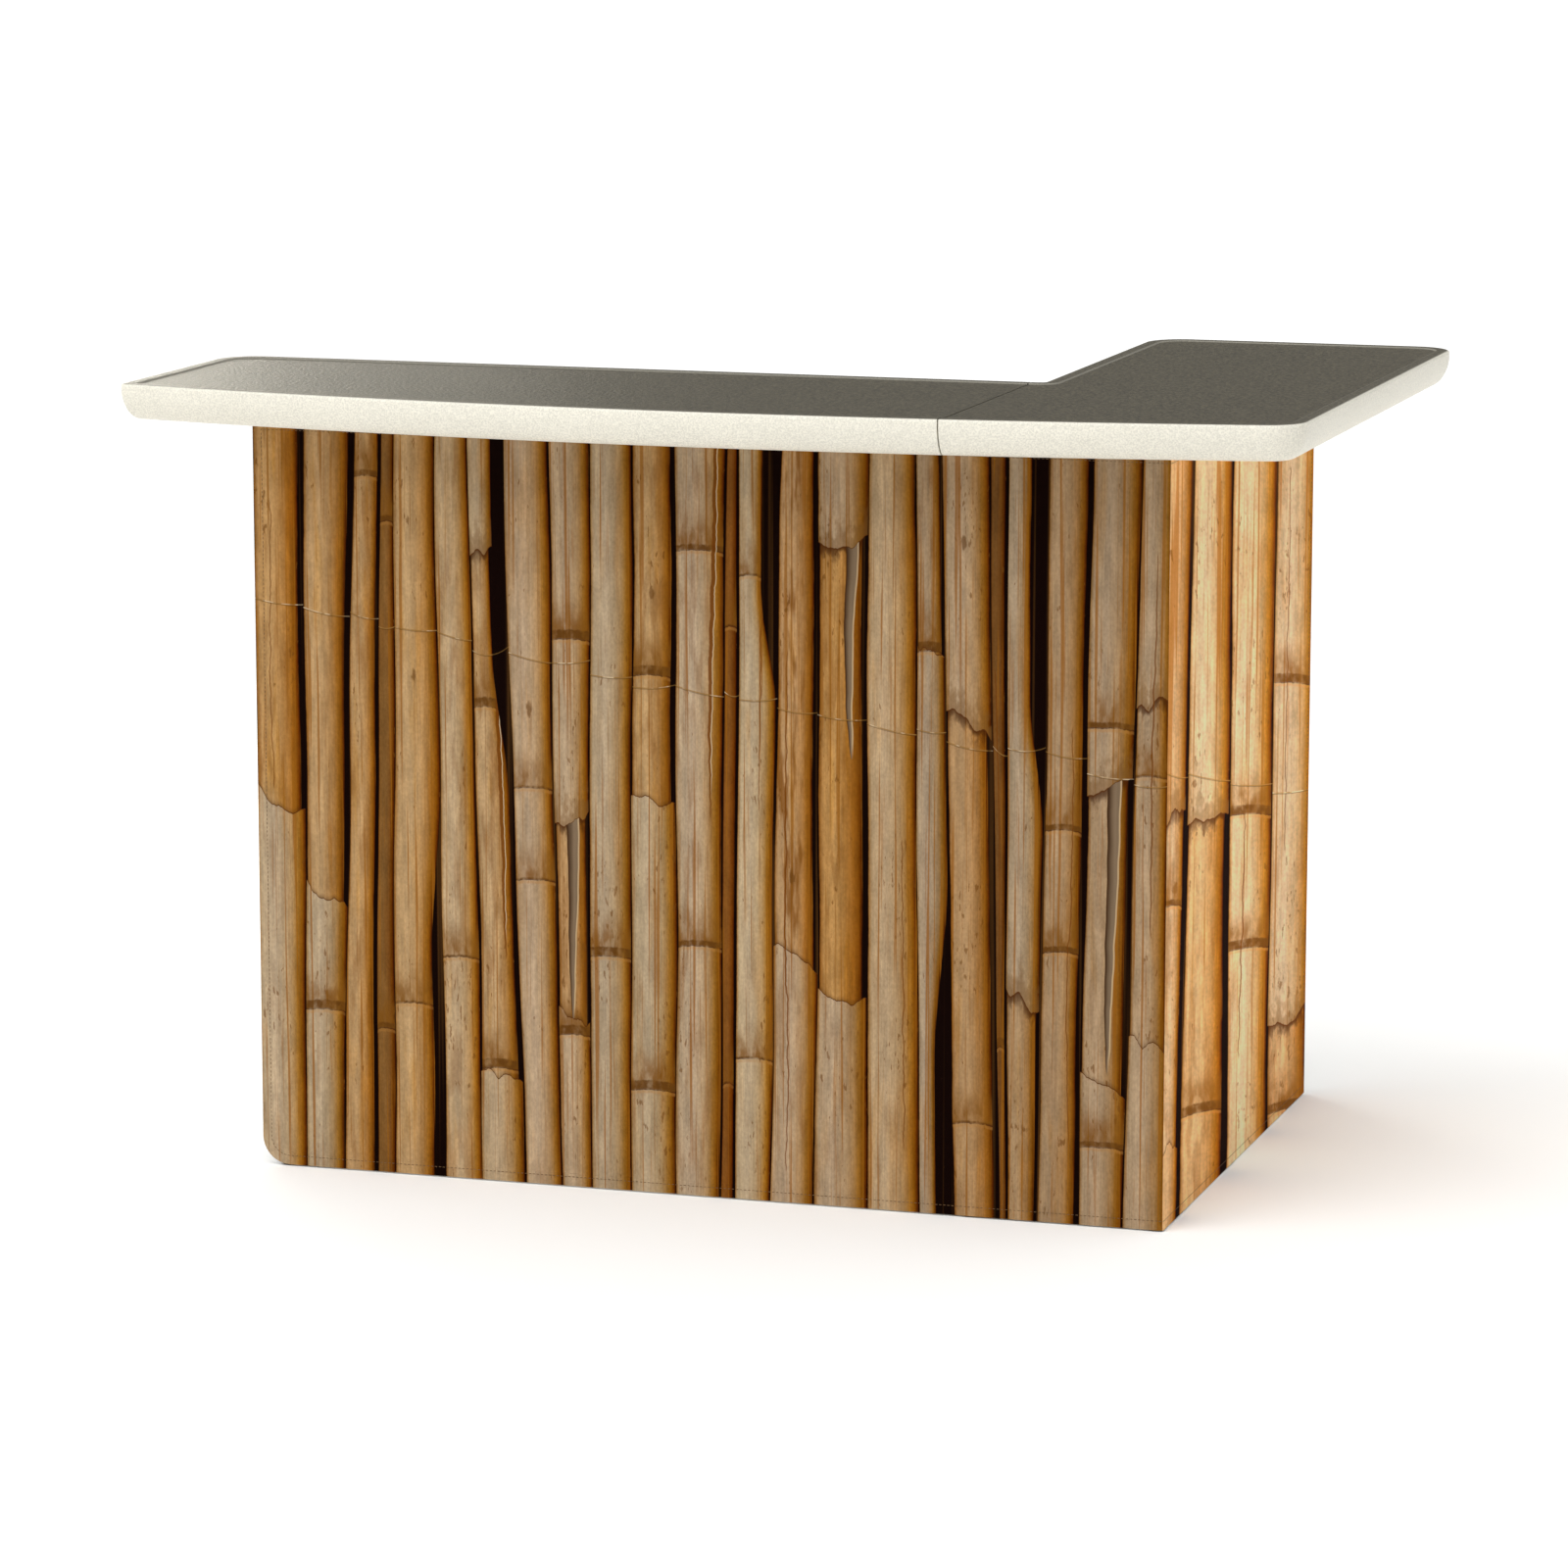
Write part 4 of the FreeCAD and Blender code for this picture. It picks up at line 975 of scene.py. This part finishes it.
# %% The picture of the canes, layer by layer
class CanePrint(Finish):
    """The canes, painted from the numbers on each face of the skin."""

    def __init__(self):
        super().__init__("printed_canes")
        self.of = {name: self.attribute(name) for name in canes[0]}
        self.own = self.of["seed"] * 57.0
        self.across = self.attribute("across")
        run = self.attribute("run")
        past_fold = (run - FRONT_RUN) * self.of["sun"]
        self.along = run - past_fold * (1 - SIDE_SCALE)
        self.height = self.attribute("height") + past_fold * SIDE_SLOPE

    def streaks(self, across, up, detail=3.0):
        """Noise stretched along the canes: this many changes for each metre across and up."""
        place = self.join(self.along * across, self.height * up, self.own)
        return self.noise(1.0, detail, place)

    def wobble(self, along, reach, detail=2.0):
        """Noise along a line, up to half of reach to either side of zero."""
        return (self.noise(1.0, detail, self.join(along, self.own)) - 0.5) * reach

    def bare_mask(self):
        """Where the sheath is gone, and the distances from its two torn ends."""
        across = self.across
        tear = self.wobble(across * 1.1, 0.05, 1.5) + self.wobble(across * 7.0, 0.0045, 3.0)
        tear = tear + across * across * (self.of["seed"] - 0.5) * 0.016
        slant = across * self.of["slant"] * 0.02
        self.under_end = self.of["bare_to"] + tear + slant - self.height
        self.over_end = self.height - self.of["bare_from"] - tear + slant
        below, above = (self.ease(end, -0.0004, 0.0004) for end in (self.under_end, self.over_end))
        self.bare = below * above

    def body_mask(self):
        """Where the cane is, and its own measure across, from -1 to 1 between its edges."""
        edge = self.across + self.wobble(self.height * 5.0, 0.15)
        edge = edge + self.wobble(self.height * 55.0, 0.035, 3.0)
        left = self.of["left"] + self.bare * 0.07
        gape = self.ease(self.height, self.of["slot_shut"], self.of["slot_open"])
        right = self.of["right"] - self.of["slot"] * gape - self.bare * 0.19
        soft = SOFT_EDGE / self.of["half_width"]
        past_left = self.ease(edge, left - soft, left + soft)
        self.body = past_left * self.fade(edge, right - soft, right + soft)
        self.round = (edge - (left + right) * 0.5) / ((right - left) * 0.5)

    def body_colour(self):
        """The round shading and the fibres of a sheath or a stalk."""
        share = self.round * 0.5 + 0.5
        gold = self.of["gold"] * (1 - self.bare) + self.of["bare_gold"] * self.bare
        gold = gold + self.ease(self.streaks(60.0, 5.0), 0.52, 0.72, 0.0, 0.3)
        sheath, stalk = self.ramp(share, SHEATH_COLOURS), self.ramp(share, STALK_COLOURS)
        colour = self.mix(sheath, stalk, gold.smallest(1.0))
        cool = self.each("MULTIPLY", colour, (1.0, 0.972, 1.02))
        colour = self.mix(cool, colour, self.of["warmth"])
        tone = self.of["shade"]
        for across, up, low, high, dark, light in FIBRES:
            tone = tone * self.ease(self.streaks(across, up), low, high, dark, light)
        colour = self.brighten(colour, tone)
        shaded = self.each("MULTIPLY", colour, (0.42, 0.27, 0.12))
        return self.mix(colour, shaded, self.of["behind"])

    def stain(self, colour):
        """Ochre lines, brown blotches, clustered flecks and a rare bud."""
        lines = self.ease(self.streaks(190.0, 1.7, 2.0), 0.59, 0.66, 0.0, 0.75)
        lines = lines.largest(self.ease(self.streaks(330.0, 5.0), 0.58, 0.70, 0.0, 0.45))
        blotches = self.ease(self.streaks(85.0, 12.0), 0.48, 0.66)
        blotches = blotches * self.of["stains"] * (self.bare * 0.55 + 0.35)
        cluster = self.ease(self.streaks(16.0, 4.0, 1.0), 0.5, 0.66)
        flecks = self.ease(self.streaks(230.0, 60.0) + cluster * 0.11, 0.70, 0.77, 0.0, 0.65)
        sideways = (self.across + 0.15) * self.of["half_width"] / BUD_WIDE
        upwards = (self.height - self.of["bud"]) / BUD_TALL
        oval = (sideways * sideways + upwards * upwards).root()
        bud = self.fade(oval + (self.streaks(260.0, 110.0) - 0.5) * 1.6, 0.5, 1.1, 0.7)
        masks = ((140, 86, 20), lines), ((120, 72, 18), blotches)
        return self.coats(colour, *masks, ((104, 62, 18), flecks), ((98, 60, 20), bud))

    def ringed(self, colour, joint):
        """A joint: a thin ring, a brown band on it, and a stain that runs up from it."""
        over = self.height - self.of[joint] + self.round * self.round * 0.0025
        over = over + self.wobble(self.along * 170.0, 0.004)
        band = self.of["band"]
        patchy = self.ease(self.streaks(110.0, 70.0), 0.3, 0.6, 0.4, 1.0)
        smudge = self.ease(self.streaks(90.0, 34.0), 0.34, 0.62, 0.35, 1.0)
        run_up = self.fade(over, band, band + STAIN_RISE, 0.85) * self.ease(over, 0.0, 0.002)
        return self.coats(
            colour,
            ((118, 74, 20), run_up * smudge),
            ((92, 56, 16), self.between(over, -0.001, band, 0.0028) * patchy * 0.92),
            ((170, 118, 56), self.near(over + 0.0032, 0.0006, 0.0028) * patchy * 0.4),
            ((66, 36, 14), self.near(over, 0.0003, 0.0012) * patchy * 0.8),
        )

    def torn(self, colour):
        """The sheath's torn ends: their shadows on the bare stalk, a brown tip, a dark line."""
        rough = self.ease(self.streaks(150.0, 60.0), 0.3, 0.7, 0.008, 0.032)
        tip = self.fade(abs(self.under_end) / rough, 0.4, 2.2, 0.55) * (1 - self.bare)
        lower = self.near(self.under_end, 0.0004, 0.0011)
        upper = self.near(self.over_end, 0.0003, 0.0009)
        return self.coats(
            colour,
            ((62, 28, 6), self.fade(self.under_end / rough, 0.0, 1.0, 0.85) * self.bare),
            ((70, 38, 12), self.fade(self.over_end, 0.0, 0.008, 0.4) * self.bare),
            ((112, 76, 34), tip),
            ((82, 42, 12), lower.largest(upper) * 0.9),
        )

    def split(self, colour):
        """A split that drifts down the cane, and may gape in its middle."""
        low, high = self.of["split_low"], self.of["split_high"]
        drift = self.wobble(self.height * 2.5, 0.5, 0.0)
        drift = drift + self.wobble(self.height * 26.0, 0.32, 4.0)
        aside = (self.across - self.of["split"] - drift) * self.of["half_width"]
        part = (self.height - low) / (high - low)
        gape = self.of["split_open"] * (part * (1 - part) * 4.0)
        inside = self.between(self.height, low, high, 0.01)
        lit = self.near(aside - gape - 0.0009, 0.0002, 0.0009) * inside
        lit = lit * self.ease(gape, 0.0004, 0.001)
        dark = self.fade(abs(aside) - gape, 0.0, 0.0011, 0.85) * inside
        return self.coats(colour, ((196, 174, 138), lit), ((106, 56, 12), dark))

    def hollowed(self, colour):
        """A burst stalk: below the torn sheath its hollow shows grey, with a pale right lip."""
        low = self.of["hollow_low"]
        part = ((self.height - low) / (self.of["bare_to"] - low)).largest(0.0).smallest(1.0)
        drift = self.of["hollow"] + self.wobble(self.height * 7.0, 0.5, 3.0)
        aside = (self.across - drift) * self.of["half_width"]
        reach = self.of["hollow_width"] * part.root()
        inside = self.ease(self.height, low, low + 0.004) * self.bare
        lit = self.ease(aside / reach, -1.0, 0.4)
        grey = self.mix(paint(62, 38, 20), paint(122, 102, 80), lit)
        grey = self.brighten(grey, self.ease(self.streaks(240.0, 5.0), 0.25, 0.75, 0.86, 1.1))
        colour = self.mix(colour, grey, self.fade(abs(aside) - reach, -0.0008, 0.0) * inside)
        lip = self.near(aside - reach - 0.0003, 0.0006, 0.0009) * inside * self.ease(part, 0.0, 0.1)
        return self.coats(colour, ((186, 160, 122), lip * 0.85))

    def gap(self, colour):
        """The dark beside a cane, where stalks further back just show."""
        behind = self.ease(self.streaks(130.0, 0.8, 1.0), 0.55, 0.72, 0.0, 0.75)
        return self.mix(self.mix(paint(16, 5, 3), paint(70, 44, 18), behind), colour, self.body)

    def wired(self, colour):
        """The binding wire: a thin dull line with a shadow under it, bright in places."""
        sag = self.round * self.round * 0.0022 + self.round * self.of["wire_tilt"]
        over = self.height - self.of["wire"] - sag
        shadow = self.near(over + 0.0014, 0.0002, 0.0011) * self.body * 0.5
        glint = self.ease(self.noise(1.0, 2.0, self.join(self.along * 55.0, self.own)), 0.5, 0.66)
        thread = self.mix(paint(142, 104, 52), paint(206, 184, 150), glint)
        line = self.near(over, 0.0003, 0.0007) * (self.body * 0.45 + 0.35)
        return self.mix(self.coats(colour, ((74, 46, 18), shadow)), thread, line)


# %% Paint the canes
def cane_print():
    f = CanePrint()
    f.bare_mask()
    f.body_mask()
    colour = f.stain(f.body_colour())
    for joint in ("joint", "other_joint"):
        colour = f.ringed(colour, joint)
    colour = f.wired(f.gap(f.hollowed(f.split(f.torn(colour)))))
    sunlit = f.each("MULTIPLY", colour, (2.4, 2.25, 2.05))
    sunlit = f.each("MINIMUM", sunlit, (0.94, 0.85, 0.7))
    colour = f.mix(colour, sunlit, f.of["sun"])
    ridge = f.near(f.attribute("border") - HEM, 0.0002, 0.0012)
    relief = f.weave(PRINT_THREADS) + ridge * 4.0
    return f.surface(colour, 0.9, f.bump(relief, 0.00008, 0.5), shine=0.02)


# %% The back of the fabric, where the print shows through faintly and the hem is folded over, with painted shade along the hem's edge
def skin_backing():
    f = Finish("skin_backing")
    drawn_up = f.join(f.attribute("run") * 26.0, f.attribute("height") * 0.6)
    ghost = f.noise(1.0, place=drawn_up)
    fold = f.near(f.attribute("border") - HEM, 0.0002, 0.0009)
    colour = f.mix(paint(198, 191, 178), paint(216, 212, 203), f.ease(ghost, 0.25, 0.75))
    # A darker line along the hem's folded edge: painted shade in the crease.
    colour = f.coats(colour, ((150, 142, 128), fold * 0.7))
    relief = f.weave(BACK_THREADS) * 0.3 + fold * -3.0
    return f.surface(colour, 0.85, f.bump(relief, 0.0003, 0.6))


# %% Put the skin on. It bends round the side frame's hinge
skin = add_object("printed_skin", skin_mesh())
skin.data.materials.append(cane_print())
skin.data.materials.append(skin_backing())
skin.data.shade_smooth()
skin.data.set_sharp_from_angle(angle=math.radians(40))
measure(skin)

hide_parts("skin_front", "skin_corner", "skin_side")
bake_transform(skin)

# %% [markdown]
# A cut edge of fabric frays, so the sheet is hemmed: its border is folded over and sewn down.
# A row of stitches is one small bar, thin at its ends, set again and again along a path. The
# path is a line of points that follows the sheet just inside its border. Geometry Nodes turn
# it into a curve, walk along it in even steps and set a stitch on each, turned the way the
# curve runs.

# %% The path of the seam, on both faces of the sheet
SEAM = 0.0125
THREAD_RADIUS, STITCH_LENGTH, STITCH_PITCH = 0.00045, 0.0040, 0.0056
THREAD_LIFT = 0.0001
PATH_STEP = 0.02


def seam_points():
    """Places along the seam, as distance along the sheet and height."""
    bend = ROUNDED_CORNER - SEAM
    low, high, end = SKIN_BOTTOM + SEAM, SKIN_TOP - SEAM, SHEET_RUN - SEAM
    middle = SKIN_BOTTOM + ROUNDED_CORNER
    fold = [FRONT_RUN + FOLD_RUN * i / 6 for i in range(7)]
    flat = [run for run in np.arange(0.05, end, PATH_STEP) if abs(run - FRONT_RUN) > 0.01]
    along = sorted(flat + fold + [end])
    angles = np.linspace(QUARTER, 0, 9)
    places = [(ROUNDED_CORNER - bend * math.sin(a), middle - bend * math.cos(a)) for a in angles]
    places += [(run, low) for run in along]
    places += [(end, z) for z in np.arange(low + PATH_STEP, high - 0.01, PATH_STEP)]
    places += [(run, high) for run in along[::-1]] + [(SEAM, high)]
    return places + [(SEAM, z) for z in np.arange(high - PATH_STEP, middle + 0.01, -PATH_STEP)]


def seam_path():
    places = seam_points()
    count = len(places)
    depths = (-THREAD_LIFT, SHEET_THICKNESS + THREAD_LIFT)
    points = [on_sheet(run, z, depth) for depth in depths for run, z in places]
    edges = [(i, (i + 1) % count) for i in range(count)]
    path = bpy.data.meshes.new("hem_stitches")
    path.from_pydata(points, edges + [(a + count, b + count) for a, b in edges], [])
    print("seam:", count, "points on each face")
    return path


# %% The tree that sews along a path
def stitch_tree():
    numbers = ("Thread radius", "Stitch length", "Pitch")
    g, (path, radius, length, pitch, thread) = new_tree("sewn_stitches", numbers, "Thread")
    curve = g.add("GeometryNodeMeshToCurve", sockets={0: path})
    even = {"Curve": curve, "Length": pitch}
    steps = g.add("GeometryNodeResampleCurve", {"mode": "LENGTH"}, even)
    way = g.add("GeometryNodeInputTangent")
    turned = g.add("FunctionNodeAlignRotationToVector", {"axis": "Z"}, {"Vector": way})
    ball = {"Segments": 6, "Rings": 4, "Radius": radius}
    grain = g.add("GeometryNodeMeshUVSphere", sockets=ball)
    long_way = g.add("ShaderNodeCombineXYZ", sockets={0: 1.0, 1: 1.0, 2: length / (radius * 2.0)})
    stitch = g.add("GeometryNodeTransform", sockets={0: grain, "Scale": long_way})
    set_out = {"Points": steps, "Instance": stitch, "Rotation": turned}
    row = g.add("GeometryNodeInstanceOnPoints", sockets=set_out)
    return end_tree(g, row, thread)


# %% Thread
def sewing_thread():
    f = Finish("sewing_thread")
    twist = f.noise(900.0)
    colour = f.mix(paint(84, 58, 28), paint(118, 88, 48), f.ease(twist, 0.3, 0.7))
    return f.surface(colour, 0.6, f.bump(twist, 0.0002, 0.6))


# %% Sew the hem
stitches = add_object("hem_stitches", seam_path())
sizes = {"Thread radius": THREAD_RADIUS, "Stitch length": STITCH_LENGTH, "Pitch": STITCH_PITCH}
grow(stitches, stitch_tree(), {**sizes, "Thread": sewing_thread()})
tidy_shell(stitches.data)
measure(stitches)
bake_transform(stitches)

# %% [markdown]
# The frame is steel tube with a dark satin powder coat. A powder coat has a faint orange-peel
# surface, and it dulls where hands and floors rub it. The hinges and rivets are zinc plated
# steel, and the feet, caps and pegs are black moulded plastic. A noise that is squeezed in
# one direction gives scuffs and brush marks that run along the piece.

# %% Powder coat
def powder_coat():
    f = Finish("powder_coat")
    peel = f.noise(420.0)
    scuffs = f.drawn_noise(26.0, 6.0, (1.0, 1.0, 0.35))
    colour = f.mix(paint(58, 54, 50), paint(82, 77, 71), f.ease(scuffs, 0.62, 0.72))
    roughness = f.ease(scuffs, 0.4, 0.7, 0.38, 0.58)
    return f.surface(colour, roughness, f.bump(peel, 0.00012, 0.5))


# %% Zinc plate
def zinc_plate():
    f = Finish("zinc_plate")
    haze = f.noise(40.0, 4.0)
    brushed = f.drawn_noise(900.0, 2.0, (1.0, 1.0, 0.04))
    spangle = f.ease(f.cells(160.0), 0.0, 0.8, 0.94, 1.04)
    colour = f.mix(paint(176, 178, 180), paint(206, 206, 202), f.ease(haze, 0.35, 0.7))
    colour = f.brighten(colour, spangle)
    roughness = f.ease(haze + brushed * 0.4, 0.5, 0.9, 0.26, 0.44)
    return f.surface(colour, roughness, f.bump(brushed, 0.00004, 0.4), metallic=1.0)


# %% Black plastic
def black_plastic():
    f = Finish("moulded_black")
    grain = f.noise(900.0)
    rubbed = f.noise(60.0, 5.0)
    colour = f.mix(paint(30, 30, 30), paint(52, 51, 49), f.ease(rubbed, 0.55, 0.75))
    roughness = f.ease(rubbed, 0.4, 0.7, 0.5, 0.68)
    return f.surface(colour, roughness, f.bump(grain, 0.0001, 0.5))


# %% Hook tape
def hook_tape():
    f = Finish("tape_hooks")
    hooks = f.cells(760.0)
    colour = f.mix(paint(44, 43, 41), paint(14, 14, 14), f.ease(hooks, 0.15, 0.6))
    return f.surface(colour, 0.8, f.bump(hooks, 0.0006, 0.8))


# %% Shelf plastic
def shelf_plastic():
    f = Finish("shelf_shell")
    grain = f.noise(520.0, 3.0)
    scuffs = f.drawn_noise(70.0, 6.0, (0.25, 1.0, 1.0))
    worn = f.ease(scuffs, 0.6, 0.75, 0.0, 0.6)
    colour = f.mix(paint(236, 231, 216), paint(214, 208, 192), worn)
    colour = f.brighten(colour, f.ease(grain, 0.3, 0.7, 0.95, 1.03))
    roughness = f.ease(scuffs, 0.4, 0.7, 0.45, 0.62)
    return f.surface(colour, roughness, f.bump(grain, 0.00025, 0.5), shine=0.35)


# %% Dress the frame's own nodes
FINISH_OF_SLOT = {
    "frame_coat": powder_coat(),
    "zinc_steel": zinc_plate(),
    "black_plastic": black_plastic(),
    "hook_tape": hook_tape(),
    "shelf_plastic": shelf_plastic(),
}
dressed = 0
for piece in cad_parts.values():
    for slot in piece.material_slots:
        name = slot.material.name.split(".")[0] if slot.material else ""
        if name in FINISH_OF_SLOT:
            slot.material = FINISH_OF_SLOT[name]
            dressed += 1
print("dressed", dressed, "of", len(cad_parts), "nodes")

# %% [markdown]
# The studio is plain: a pale floor that runs out of sight, a soft sky and one broad key light
# from the front left. A sun lamp with a wide angle lights the floor evenly and gives shadows
# with soft edges. Two low panels behind the bar give the gloss on the long counter's top.

# %% Floor
def studio_floor():
    f = Finish("studio_floor")
    colour = f.mix(paint(246, 246, 245), paint(250, 250, 249), f.noise(0.4))
    return f.surface(colour, 0.9, shine=0.1)


FAR = 90
floor_corners = [(-FAR, -FAR, 0), (FAR, -FAR, 0), (FAR, FAR, 0), (-FAR, FAR, 0)]
floor_mesh = bpy.data.meshes.new("studio_floor")
floor_mesh.from_pydata(floor_corners, [], [(0, 1, 2, 3)])
floor_mesh.materials.append(studio_floor())
floor = add_object("studio_floor", floor_mesh)


# %% The key light
def lamp(name, kind, energy, way):
    """A lamp that shines from that way."""
    data = bpy.data.lights.new(name, kind)
    data.energy = energy
    thing = add_object(name, data)
    thing.rotation_euler = way.to_track_quat("Z", "Y").to_euler()
    return thing


AZIMUTH, ELEVATION = math.radians(-20), math.radians(50)
from_left = Vector(
    (
        math.sin(AZIMUTH) * math.cos(ELEVATION),
        -math.cos(AZIMUTH) * math.cos(ELEVATION),
        math.sin(ELEVATION),
    )
)
key_light = lamp("key_light", "SUN", 1.65, from_left)
key_light.data.angle = math.radians(60)


# %% Low panels behind the left end, which the long counter's top mirrors
def panel_light(name, place, aim, size, power):
    panel = lamp(name, "AREA", power, Vector(place) - Vector(aim))
    panel.location = place
    panel.visible_camera = False
    panel.data.color = (1.0, 0.96, 0.84)
    panel.data.shape = "RECTANGLE"
    panel.data.size, panel.data.size_y = size


panel_light("gloss_panel", (-2.93, 3.0, 1.75), (-0.9, -0.3, 1.1), (1.6, 1.1), 35.0)
panel_light("faint_panel", (-1.95, 3.1, 1.75), (-0.5, -0.3, 1.1), (0.9, 1.1), 4.5)


# %% Sky, darker towards the horizon
def studio_sky():
    world = bpy.data.worlds.new("studio_sky")
    world.use_nodes = True
    world.node_tree.nodes.clear()
    g = Graph(world.node_tree)
    way = g.add("ShaderNodeTexCoord", out="Generated")
    up = g.add("ShaderNodeSeparateXYZ", sockets={0: way}, out=2)
    light = {"Color": (1.0, 1.0, 1.0, 1.0), "Strength": g.ease(up, 0.25, 0.8, 0.12, 1.15)}
    g.end("ShaderNodeOutputWorld", g.add("ShaderNodeBackground", sockets=light))
    return world


bpy.context.scene.world = studio_sky()
